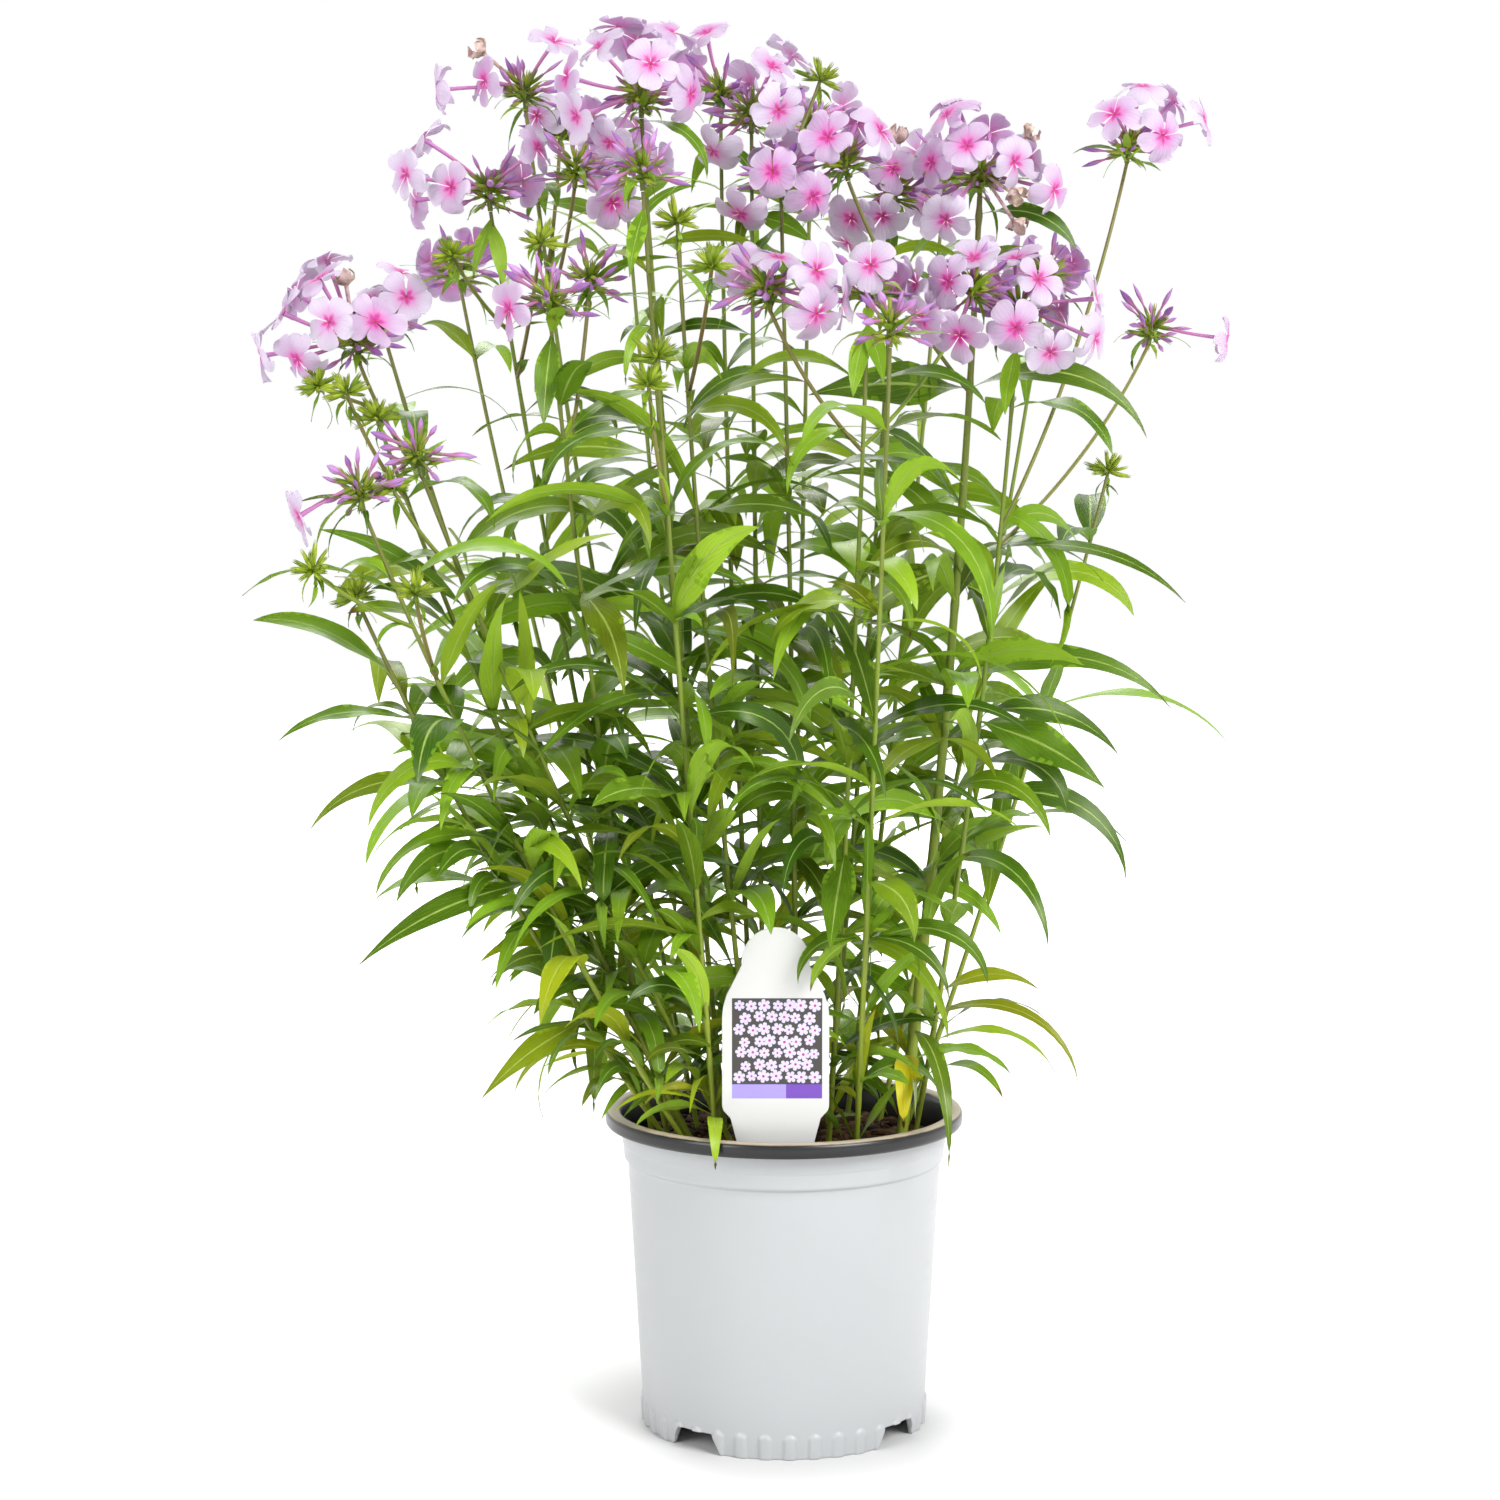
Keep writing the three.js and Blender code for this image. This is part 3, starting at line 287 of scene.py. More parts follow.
# Leaves near the soil and under the heads that the solids don't have: as above, then how yellow, how brown
# at the tip, and how far rolled.
ADDED_LEAVES = (
    ("stem_18", 172, 262, 20, 125, 56, 11, 0.9, 1, 0),
    ("stem_16", 236, 196, -12, 72, 38, 10, 0.05, 1, 70),
    ("stem_16", 137, 200, 68, 22, 36, 9, 0.25, 1, 0),
    ("stem_16", 137, -12, 64, 20, 38, 8, 0.1, 0, 0),
    ("stem_14", 148, 271, 42, 152, 46, 7, 0.15, 1, 0),
    ("stem_14", 152, 192, 36, 92, 40, 9, 0.0, 0, 40),
    ("stem_11", 150, -46, 20, 90, 34, 8, 0.0, 0, 0),
    ("stem_04", 168, 20, 40, 100, 44, 8, 0.0, 0, 0),
    ("stem_15", 160, 215, 52, 90, 40, 8, 0.1, 1, 0),
    ("stem_19", 176, -8, 30, 96, 66, 6, 0.15, 1, 20),
    ("stem_19", 200, 6, 34, 76, 50, 9, 0.3, 1, 40),
    ("stem_07", 588, 196, -20, 62, 30, 9, 0.0, 0, 40),
    ("stem_07", 590, -22, 2, 96, 46, 8, 0.0, 0, 30),
    ("stem_06", 561, -16, 8, 62, 42, 10, 0.0, 0, 40),
    ("stem_10", 552, -12, -8, 42, 32, 11, 0.0, 0, 45),
    ("stem_10", 552, 188, 22, 40, 30, 6, 0.05, 0, 20),
    ("stem_08", 529, 192, 6, 84, 60, 9, 0.0, 0, 30),
    ("stem_08", 531, -20, 16, 120, 60, 6, 0.0, 0, 20),
    ("stem_05", 550, 236, -54, 24, 32, 8, 0.0, 0, 0),
    ("stem_05", 548, 300, -60, 20, 34, 8, 0.05, 0, 0),
    ("stem_12", 494, 256, -66, 16, 40, 11, 0.0, 0, 0),
    ("stem_13", 548, 248, -52, 26, 34, 9, 0.0, 0, 0),
    ("stem_18", 552, 192, -4, 92, 55, 12, 0.0, 0, 30),
    ("stem_18", 554, -10, 16, 84, 52, 11, 0.0, 0, 30),
    ("stem_17", 552, 252, -46, 32, 34, 8, 0.0, 0, 0),
    ("stem_15", 500, 246, -50, 28, 36, 9, 0.0, 0, 0),
    ("stem_15", 500, 292, -44, 30, 32, 9, 0.0, 0, 0),
    ("stem_11", 546, 214, -30, 50, 34, 8, 0.0, 0, 20),
    ("stem_19", 492, 250, -40, 40, 36, 9, 0.0, 0, 0),
    ("stem_09", 590, 228, -34, 44, 34, 8, 0.0, 0, 0),
    ("stem_09", 588, -40, -24, 56, 38, 8, 0.0, 0, 20),
)
# Stems whose added leaves stand closer, and how much closer.
CLOSE_STEMS = {
    "stem_07": 0.7, "stem_08": 0.75, "stem_09": 0.7, "stem_10": 0.65, "stem_11": 0.65, "stem_13": 0.8,
    "stem_15": 0.75, "stem_18": 0.8, "stem_19": 0.8, "stem_24": 0.8, "stem_26": 0.8,
}

# How far the added leaves may reach to the left and right of the axis, by height.
REACH = (
    (120, -98, 84), (175, -118, 76), (222, -142, 70), (270, -182, 126), (320, -184, 134), (366, -190, 138),
    (414, -204, 140), (500, -225, 190), (640, -225, 200),
)
# How far, in degrees, a leaf that points sideways turns its upper face to the front. One with a place of
# its own that is wider than BROAD turns by FACING_BROAD for each millimetre of its width.
FACING = 16
FACING_BROAD = 3.6
BROAD = 11
# How far, in degrees, a leaf twists on its way to the tip, at most.
TWIST = 38
TWIST_BROAD = 12
# Leaves longer than FINE_LEAF have the finer form and mesh. Longer than SWELLING_LEAF, they swell the stem.
FINE_LEAF = 34
SWELLING_LEAF = 45
# How high the added leaves may reach, by the distance to the right of the axis.
CEILING = ((-230, 415), (-130, 425), (-108, 520), (60, 520), (85, 440), (150, 430), (230, 420))
# The ceiling holds up to here. The leaves among the heads stand higher.
CEILING_TOP = 520
# How deep the foliage is, as a share of how wide, and how far added leaves keep from the label.
REACH_DEPTH = 0.8
LABEL_ROOM = {"side": 4, "front": 7, "over": 5}
# Added leaves keep out of this box in front of the broadest leaf, nearer to the front than this y.
CLEAR_VIEW = {"x": (0, 90), "z": (458, 498), "y": -4}
# The stems on the left, whose low leaves hang out over the pot's side, and how those leaves grow.
LEFT_STEMS = ("stem_01", "stem_02", "stem_03", "stem_04", "stem_12", "stem_14", "stem_21")
LEFT_LEAVES = {"count": 10, "lowest": 168, "highest": 305, "azimuth": 205, "swing": 58}
# How close an added leaf comes to other organs and to its own stem, and how often it is bent to find room.
ADDED_ROOM = {"clearance": 1.4, "own": 1.0, "tries": 12}
# How much more freely an added leaf is drawn, in degrees.
ADDED_SWING = {"rise": 26, "droop": 40, "curl": 16}
# The added pairs: where they begin and end on a stem, and below which height CLOSE_STEMS holds.
ADDED_PAIRS = {"above_soil": 12, "above_soil_swing": 20, "below_top": 30, "close_below": 400}
# How far apart the added pairs stand, by height, as a share of their mean spacing.
SPARSER = ((320, 0.95), (350, 1.2), (400, 1.2), (430, 1.35), (500, 1.0))
# How far, in degrees, an axil leaf stands to the side of its large leaf.
AXIL_SIDE = 40

# Each kind of organ draws its numbers from its own seeds, so a change to one kind leaves the rest alone.
SEEDS = {"heads": 100, "clusters": 300, "pairs": 500, "turns": 700, "added": 900, "axils": 1100, "left": 1300}
MESH_SEEDS = {"stems": 0, "heads": 100, "soil": 400, "label": 500}


# ---------------------------------------------------------------- growing, as the solids grow


def seeded(seed):
    """A seeded draw of numbers from 0 to 1, the same one that grows the solids."""
    state = (SEED * 7919 + seed * 104729) & 0xFFFFFFFF
    while True:
        state = (state * 1664525 + 1013904223) & 0xFFFFFFFF
        yield (state >> 8) / 16777216


def unit(vector):
    return vector / np.linalg.norm(vector)


def square(direction):
    """Two directions square to the given one and to each other."""
    helper = np.array((1.0, 0, 0)) if abs(direction[2]) > 0.7 else np.array((0, 0, 1.0))
    first = unit(helper - direction * helper.dot(direction))
    return first, np.cross(direction, first)


def around(first, second, angles):
    """Directions at these angles in the plane of two square directions."""
    angles = np.asarray(angles, float)[..., None]
    return first * np.cos(angles) + second * np.sin(angles)


class Bow:
    """A curve from one point to another, drawn towards a third on its way."""

    def __init__(self, start, towards, end):
        self.start, self.towards, self.end = (np.array(p, float) for p in (start, towards, end))

    def at(self, share):
        t = np.asarray(share, float)[..., None]
        return (1 - t) ** 2 * self.start + 2 * (1 - t) * t * self.towards + t**2 * self.end

    def heading(self, share):
        t = np.asarray(share, float)
        step = self.at(np.minimum(t + 1e-4, 1)) - self.at(np.maximum(t - 1e-4, 0))
        return step / np.linalg.norm(step, axis=-1, keepdims=True)

    def spaced(self, spacing):
        line = self.at(np.linspace(0, 1, 201))
        length = np.linalg.norm(np.diff(line, axis=0), axis=1).sum()
        return self.at(np.linspace(0, 1, math.ceil(length / spacing) + 1))

    def reach(self, height):
        """Where on a rising curve a height is reached."""
        low, high = 0.0, 1.0
        for _ in range(24):
            middle = (low + high) / 2
            if self.at(middle)[2] < height:
                low = middle
            else:
                high = middle
        return low


class Room:
    """The room that is taken, as sample points of every organ."""

    def __init__(self):
        self.owners, self.points = [], []
        self.lows, self.highs = np.zeros((0, 3)), np.zeros((0, 3))

    def take(self, owner, points):
        points = np.array(points, float).reshape(-1, 3)
        self.owners.append(owner)
        self.points.append(points)
        self.lows = np.vstack((self.lows, points.min(0)))
        self.highs = np.vstack((self.highs, points.max(0)))

    def crowded(self, owner, samples, clearance, own_clearance):
        low, high = samples.min(0) - clearance, samples.max(0) + clearance
        near = ((self.lows <= high) & (self.highs >= low)).all(1)
        for i in np.flatnonzero(near):
            own = self.owners[i] == owner
            mine = samples[LEAF["root_samples"]:] if own else samples
            if not len(mine):
                continue
            away = ((mine[:, None] - self.points[i][None]) ** 2).sum(-1)
            if away.min() < (own_clearance if own else clearance) ** 2:
                return True
        return out_of_bounds(samples)


def between(values, limits):
    return (values > limits[0]) & (values < limits[1])


def out_of_reach(points):
    """Whether an added leaf leaves the plant's outline, or hides the label or the broadest leaf."""
    x, y, z = points.T
    heights, left, right = zip(*REACH)
    low, high = np.interp(z, heights, left), np.interp(z, heights, right)
    outside = (x < low) | (x > high) | (abs(y) > REACH_DEPTH * np.maximum(-low, high))
    across_label = abs(x - LABEL["centre"]) <= LABEL["half_width"] + LABEL_ROOM["side"]
    before_label = across_label & (y < LABEL["back"] + LABEL_ROOM["front"])
    hides_label = before_label & (z < LABEL["top"] + LABEL_ROOM["over"])
    hides_leaf = between(x, CLEAR_VIEW["x"]) & between(z, CLEAR_VIEW["z"]) & (y < CLEAR_VIEW["y"])
    too_high = (z > np.interp(x, *zip(*CEILING))) & (z < CEILING_TOP)
    return bool((outside | hides_label | hides_leaf | too_high).any())


def out_of_bounds(points):
    radius = np.hypot(points[:, 0], points[:, 1])
    wide = (abs(points[:, 0]) > SPREAD["x"]) | (abs(points[:, 1]) > SPREAD["y"])
    low = points[:, 2] < SPREAD["ground"]
    by_pot = (radius <= POT_ROOM["radius"]) & (points[:, 2] <= POT_ROOM["height"])
    in_pot = (radius > POT_ROOM["mouth"]) | (points[:, 2] < POT_ROOM["over_soil"])
    return bool((wide | low | (by_pot & in_pot)).any())


def leaf_shape(t):
    """How wide a leaf is along its length, as a share of its greatest width."""
    return np.maximum(np.sin(np.pi * np.asarray(t, float) ** 0.6), 0) ** 1.1


def leaf_size(height):
    heights, lengths, widths = zip(*LEAF_SIZES)
    return float(np.interp(height, heights, lengths)), float(np.interp(height, heights, widths))


def midrib(leaf):
    """The points of a leaf's midrib, rising from its root and arching down to its tip."""
    t = (np.arange(LEAF["steps"]) + 0.5) / LEAF["steps"]
    rise = np.radians(leaf["rise"] - leaf["droop"] * t**1.25)
    azimuth = np.radians(leaf["azimuth"] + leaf["curl"] * t)
    way = np.stack((np.cos(rise) * np.cos(azimuth), np.cos(rise) * np.sin(azimuth), np.sin(rise)), 1)
    steps = way * leaf["length"] / LEAF["steps"]
    return leaf["root"] + np.vstack((np.zeros(3), np.cumsum(steps, axis=0)))


def leaf_frames(points):
    """The directions along, across and out of a leaf at each point of its midrib."""
    count = len(points)
    after = points[np.minimum(np.arange(count) + 1, count - 1)]
    before = points[np.maximum(np.arange(count) - 1, 0)]
    forward = after - before
    forward /= np.linalg.norm(forward, axis=1, keepdims=True)
    flat = np.hypot(forward[:, 0], forward[:, 1])
    flat[flat == 0] = 1
    across = np.stack((-forward[:, 1] / flat, forward[:, 0] / flat, np.zeros(count)), 1)
    return forward, across, np.cross(forward, across)


def leaf_samples(leaf, points):
    _, across, _ = leaf_frames(points)
    samples = []
    for i in range(1, len(points)):
        half = 0.5 * leaf["width"] * float(leaf_shape(i / LEAF["steps"]))
        for offset in (-1, -0.5, 0, 0.5, 1) if half > 4.5 else (-1, 0, 1):
            samples.append(points[i] + across[i] * offset * half)
    return np.array(samples)


def dome(axis, count, lowest, draw):
    """Directions spread over a dome round an axis, by the golden angle."""
    first, second = square(axis)
    spin = next(draw) * 2 * math.pi
    ways = []
    for i in range(count):
        rise = lowest + (1 - lowest) * ((i + 0.5) / count)
        flat = math.sqrt(max(0, 1 - rise * rise))
        angle = spin + i * math.pi * (3 - math.sqrt(5))
        ways.append(unit(axis * rise + first * flat * math.cos(angle) + second * flat * math.sin(angle)))
    return ways


def spindle_points(root, way, start, length):
    return [root + way * (start + SPINDLE_WIDEST * length), root + way * (start + length)]


class Phlox:
    """The whole plant's layout: curves, heads, clusters and leaves, grown in the solids' own order."""

    def __init__(self):
        self.room = Room()
        self.leaves, self.curves, self.stalks = {}, {}, {}
        self.clusters, self.heads, self.arrivals = {}, {}, {}
        self.turns = {row[0]: 360 * next(seeded(SEEDS["turns"] + i)) for i, row in enumerate(STEMS)}
        self.take_label()
        for row in STEMS:
            self.grow_stem(row)
        for index, row in enumerate(HEADS):
            self.grow_head(index, row)
        for stem, height, *form in SPECIAL_LEAVES:
            width = form[-1]
            self.place_leaf(stem, height, form, facing=FACING_BROAD * width if width > BROAD else FACING)
        for index, row in enumerate(STEMS):
            self.leaf_pairs(index, row)

    def take_label(self):
        heights = np.arange(LABEL["rim_height"], LABEL["top"] + 0.01, 5)
        widths = np.arange(-LABEL["half_width"], LABEL["half_width"] + 0.01, 5.9)
        self.room.take("label", [(LABEL["centre"] + x, LABEL["back"], z) for z in heights for x in widths])

    def end_point(self, name):
        if name in GREENS:
            return np.array(GREENS[name][:3], float)
        return np.array(next(row[1] for row in HEADS if row[0] == name), float)

    def grow_stem(self, row):
        name, foot, top, bow, _pairs, stalks, _thick = row
        start, end = np.array((*foot, SOIL_EDGE), float), self.end_point(top)
        lean = unit(np.array((end[0] - start[0], end[1] - start[1], 0)))
        curve = Bow(start, (start + end) / 2 + lean * bow, end)
        self.curves[name], self.leaves[name] = curve, []
        self.stalks[name], self.clusters[name] = [], []
        self.arrivals[top] = curve.heading(1.0)
        self.room.take(name, curve.spaced(5))
        for height, tip in stalks:
            begin, end = curve.at(curve.reach(height)), self.end_point(tip)
            share = np.array((STALK["turn_out"], STALK["turn_out"], STALK["turn_up"]))
            stalk = Bow(begin, begin + (end - begin) * share, end)
            self.stalks[name].append(stalk)
            self.arrivals[tip] = stalk.heading(1.0)
            self.room.take(name, stalk.spaced(5))
            if tip in GREENS:
                self.grow_cluster(name, tip)
        if top in GREENS:
            self.grow_cluster(name, top)

    def grow_cluster(self, stem, name):
        centre, count = self.end_point(name), GREENS[name][3]
        axis = unit(self.arrivals[name] + np.array((0, 0, UPTURN)))
        draw = seeded(SEEDS["clusters"] + int(name[6:]))
        spikes = []
        points = [centre]
        for way in dome(axis, count, -0.15, draw):
            length = GREEN_BUD["length"] * (0.85 + 0.4 * next(draw))
            spikes.append((way, length))
            points += spindle_points(centre, way, GREEN_BUD["start"], length)
        self.clusters[stem].append({"centre": centre, "axis": axis, "spikes": spikes})
        self.room.take(stem, points)

    def grow_head(self, index, row):
        name, base, buds, throats, withered = row
        arrival = self.arrivals[name]
        base = np.array(base, float)
        axis = unit(arrival + np.array((0, 0, UPTURN)))
        core = base + axis * CORE_RISE
        draw = seeded(SEEDS["heads"] + index)
        throats = [np.array(p, float) for p in throats]
        withered = [np.array(p, float) for p in withered]
        points = [base, core, base + axis * CORE_RISE / 2]
        for throat in throats:
            points += self.flower_points(core, throat)
        for end in withered:
            way = unit(end - core)
            limp = core + way * np.linalg.norm(end - core) * WITHERED_FULLEST
            spin = around(*square(way), np.arange(5) * 2 * math.pi / 5)
            points += [end, *(limp + WITHERED_RADIUS * spin)]
        tubes = [unit(throat - core) for throat in throats]
        free = [way for way in dome(axis, 3 * buds + 4, -0.35, draw)
                if all(tube.dot(way) < BUD["tube_limit"] for tube in tubes)]
        every = max(1, len(free) // buds)
        drawn = [(way, BUD["length"] * (0.7 + 0.6 * next(draw))) for way in free[::every][:buds]]
        for way, length in drawn:
            points += spindle_points(core, way, BUD["start"], length)
        self.room.take(name, points)
        self.heads[name] = {
            "base": base, "core": core, "axis": axis, "arrival": arrival, "throats": throats,
            "withered": withered, "buds": drawn, "tubes": tubes,
        }

    def flower_points(self, core, throat):
        corners = ((0, FLOWER["notch_radius"]), (FLOWER["lobe_from"], FLOWER["radius"]),
                   (FLOWER["lobe_to"], FLOWER["radius"]))
        angles = [2 * math.pi * (petal + step) / 5 for petal in range(5) for step, _ in corners]
        radii = np.array([radius for _ in range(5) for _, radius in corners])
        outline = throat + around(*square(unit(throat - core)), angles) * radii[:, None]
        way = core - throat
        return [throat, *outline, throat + way * 0.3, throat + way * 0.6, *((outline + throat) / 2)]

    def place_leaf(self, stem, height, form, **more):
        """Keeps a leaf with a place of its own."""
        curve = self.curves[stem]
        leaf = dict(zip(("azimuth", "rise", "droop", "length", "width"), form))
        self.keep(stem, {"root": curve.at(curve.reach(height)), "curl": 0, **leaf, **more})

    def keep(self, stem, leaf):
        leaf["points"] = midrib(leaf)
        self.room.take(stem, leaf_samples(leaf, leaf["points"]))
        self.leaves[stem].append(leaf)

    def leaf_pairs(self, index, row):
        name, pairs = row[0], row[4]
        curve, draw = self.curves[name], seeded(SEEDS["pairs"] + index)
        lowest = SOIL_EDGE + LEAF["above_soil"] + LEAF["above_soil_swing"] * next(draw)
        highest = curve.end[2] - LEAF["below_top"]
        for pair in range(pairs):
            height = lowest + (highest - lowest) * (pair / (pairs - 1)) ** LEAF["crowding"]
            root = curve.at(curve.reach(height))
            for side in (0, 180):
                self.draw_leaf(name, root, self.turns[name] + 90 * pair + side, draw)

    def draw_leaf(self, stem, root, azimuth, draw, added=None):
        """Draws a leaf, and bends it another way until it has room. An added leaf is slimmer and rolls."""
        form = {"size": 1.0, "slim": 1.0, "clearance": LEAF["clearance"], "own": LEAF["own_clearance"],
                "tries": LEAF["tries"], "roll": 0.0, **(added or {})}
        length, width = leaf_size(root[2])

        def vary(amount):
            return amount * (2 * next(draw) - 1)

        for attempt in range(form["tries"]):
            leaf = {"root": root, "roll": form["roll"]}
            leaf["azimuth"] = azimuth + vary(DRAW["swing"] + DRAW["swing_step"] * attempt)
            steady = DRAW["rise"] - DRAW["rise_loss"] * (root[2] - LEAF_SIZES[0][0])
            leaf["rise"] = steady + vary(DRAW["rise_swing"])
            leaf["droop"] = DRAW["droop"] + vary(DRAW["droop_swing"])
            leaf["curl"] = vary(DRAW["curl"])
            if added:
                for angle, swing in ADDED_SWING.items():
                    leaf[angle] += vary(swing)
            shorter = 1 - DRAW["length_loss"] * attempt
            leaf["length"] = form["size"] * length * (1 + vary(DRAW["length_swing"])) * shorter
            leaf["width"] = form["slim"] * width * (1 + vary(DRAW["width_swing"]))
            samples = leaf_samples(leaf, midrib(leaf))
            if added and out_of_reach(samples):
                continue
            if not self.room.crowded(stem, samples, form["clearance"], form["own"]):
                self.keep(stem, leaf)
                return leaf
        return None

    def fill_in(self, spacing, axils):
        """Adds the leaves between the large ones, those near the soil, and small ones in the axils."""
        for stem, height, *form, yellow, brown, roll in ADDED_LEAVES:
            self.place_leaf(stem, height, form, age=(yellow, brown), roll=roll)
        for index, row in enumerate(STEMS):
            if row[0] in LEFT_STEMS:
                self.left_leaves(row[0], seeded(SEEDS["left"] + index))
        for index, row in enumerate(STEMS):
            self.added_pairs(row[0], seeded(SEEDS["added"] + index), spacing)
        for index, row in enumerate(STEMS):
            self.axil_leaves(row[0], seeded(SEEDS["axils"] + index), axils)

    def left_leaves(self, name, draw):
        """The long leaves that hang out low on the left."""
        curve = self.curves[name]
        for i in range(LEFT_LEAVES["count"]):
            share = (i + next(draw)) / LEFT_LEAVES["count"]
            height = LEFT_LEAVES["lowest"] + share * (LEFT_LEAVES["highest"] - LEFT_LEAVES["lowest"])
            azimuth = LEFT_LEAVES["azimuth"] + LEFT_LEAVES["swing"] * (2 * next(draw) - 1)
            form = {"size": 1.05, "slim": 0.85, "roll": 80 * next(draw) - 40, **ADDED_ROOM}
            self.draw_leaf(name, curve.at(curve.reach(height)), azimuth, draw, form)

    def added_pairs(self, name, draw, spacing):
        """Pairs all the way up a stem, each a quarter turn from the one below."""
        curve, turn = self.curves[name], self.turns[name] + 45
        height = SOIL_EDGE + ADDED_PAIRS["above_soil"] + ADDED_PAIRS["above_soil_swing"] * next(draw)
        while height < curve.end[2] - ADDED_PAIRS["below_top"]:
            root = curve.at(curve.reach(height))
            for side in (0, 180):
                size, slim = 0.95 + 0.35 * next(draw), 0.5 + 0.34 * next(draw)
                form = {"size": size, "slim": slim, "roll": 130 * next(draw) - 65, **ADDED_ROOM}
                self.draw_leaf(name, root, turn + side, draw, form)
            turn += 90
            closer = CLOSE_STEMS.get(name, 1.0) if height < ADDED_PAIRS["close_below"] else 1.0
            sparser = np.interp(height, *zip(*SPARSER))
            height += spacing * closer * sparser * (0.75 + 0.5 * next(draw))

    def axil_leaves(self, name, draw, share):
        """Small leaves beside the roots of some of the leaves."""
        for leaf in list(self.leaves[name]):
            if next(draw) < share:
                side = AXIL_SIDE if next(draw) < 0.5 else -AXIL_SIDE
                size = 0.3 + 0.35 * next(draw)
                form = {**ADDED_ROOM, "size": size, "slim": 0.8 * size**0.6, "tries": 3}
                self.draw_leaf(name, leaf["root"], leaf["azimuth"] + side, draw, form)


PLANT = Phlox()


# ---------------------------------------------------------------- meshes


def rings_along(line, radii, sides):
    """Rings square to a line of points, each turned as little as can be from the one before."""
    line = np.asarray(line, float)
    heading = np.gradient(line, axis=0)
    heading /= np.linalg.norm(heading, axis=1, keepdims=True)
    first, _ = square(heading[0])
    angles = np.arange(sides) * 2 * math.pi / sides
    rings = []
    for point, way, radius in zip(line, heading, radii):
        first = unit(first - way * first.dot(way))
        rings.append(point + around(first, np.cross(way, first), angles) * radius)
    return rings


class Growth:
    """Gathers the sheets and tubes of one piece, in millimetres, and makes one mesh of them."""

    def __init__(self, finishes):
        self.finishes = finishes
        self.points, self.uvs, self.tints, self.faces, self.slots = [], [], [], [], []
        self.count = 0

    def grid(self, points, finish, tint=(0.5, 0.5, 0, 1), closed=False, flip=False, uv=None):
        """A sheet of rows and columns. Its outer side is (along the rows) x (along the columns)."""
        points = np.asarray(points, float)
        rows, columns = points.shape[:2]
        index = np.arange(rows * columns).reshape(rows, columns) + self.count
        if closed:
            index = np.hstack((index, index[:, :1]))
        quads = np.stack((index[:-1, :-1], index[1:, :-1], index[1:, 1:], index[:-1, 1:]), -1)
        quads = quads.reshape(-1, 4)
        if flip:
            quads = quads[:, ::-1]
        if uv is None:
            across, along = np.meshgrid(np.linspace(0, 1, columns), np.linspace(0, 1, rows))
            uv = np.stack((across, along), -1)
        self.points.append(points.reshape(-1, 3))
        self.uvs.append(np.asarray(uv, float).reshape(-1, 2))
        self.tints.append(np.broadcast_to(np.asarray(tint, float), (rows, columns, 4)).reshape(-1, 4))
        self.faces.append(quads)
        self.slots.append(np.full(len(quads), self.finishes.index(finish)))
        self.count += rows * columns

    def tube(self, line, radii, sides, finish, tint):
        """A tube along a line of points, closed to a point at both ends where its radius is small."""
        self.grid(rings_along(line, radii, sides), finish, tint, closed=True, flip=True)

    def make(self, name, materials):
        points = np.vstack(self.points) * MM
        quads = np.vstack(self.faces)
        mesh = bpy.data.meshes.new(name)
        mesh.vertices.add(len(points))
        mesh.vertices.foreach_set("co", points.ravel())
        mesh.loops.add(quads.size)
        mesh.loops.foreach_set("vertex_index", quads.ravel())
        mesh.polygons.add(len(quads))
        mesh.polygons.foreach_set("loop_start", np.arange(len(quads)) * 4)
        mesh.polygons.foreach_set("material_index", np.concatenate(self.slots))
        for finish in self.finishes:
            mesh.materials.append(materials[finish])
        mesh.uv_layers.new(name="Organ").data.foreach_set("uv", np.vstack(self.uvs)[quads.ravel()].ravel())
        tints = np.vstack(self.tints)[quads.ravel()]
        mesh.uv_layers.new(name="Growth").data.foreach_set("uv", tints[:, :2].ravel())
        mesh.uv_layers.new(name="Marks").data.foreach_set("uv", tints[:, 2:].ravel())
        mesh.update(calc_edges=True)
        mesh.validate()
        mesh.shade_smooth()
        return put(name, mesh)


def put(name, mesh):
    piece = bpy.data.objects.new(name, mesh)
    bpy.context.scene.collection.objects.link(piece)
    return piece


def settle(piece, slot, *nodes):
    """The piece rides on the pot's body and stands for these solids, which it hides. Its slot is not used."""
    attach(piece, "root")
    if nodes:
        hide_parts(*nodes)


def draws(seed):
    return np.random.default_rng(SEED * 1000 + seed)


# ---------------------------------------------------------------- leaves, stems and flowers as meshes

STEM_SIDES = 9
STEM_FINISHES = ["stem_skin", "leaf_top", "leaf_under", "calyx"]
HEAD_FINISHES = [
    "stem_skin", "calyx", "petal", "flower_tube", "throat", "bud", "withered", "leaf_top", "leaf_under",
]


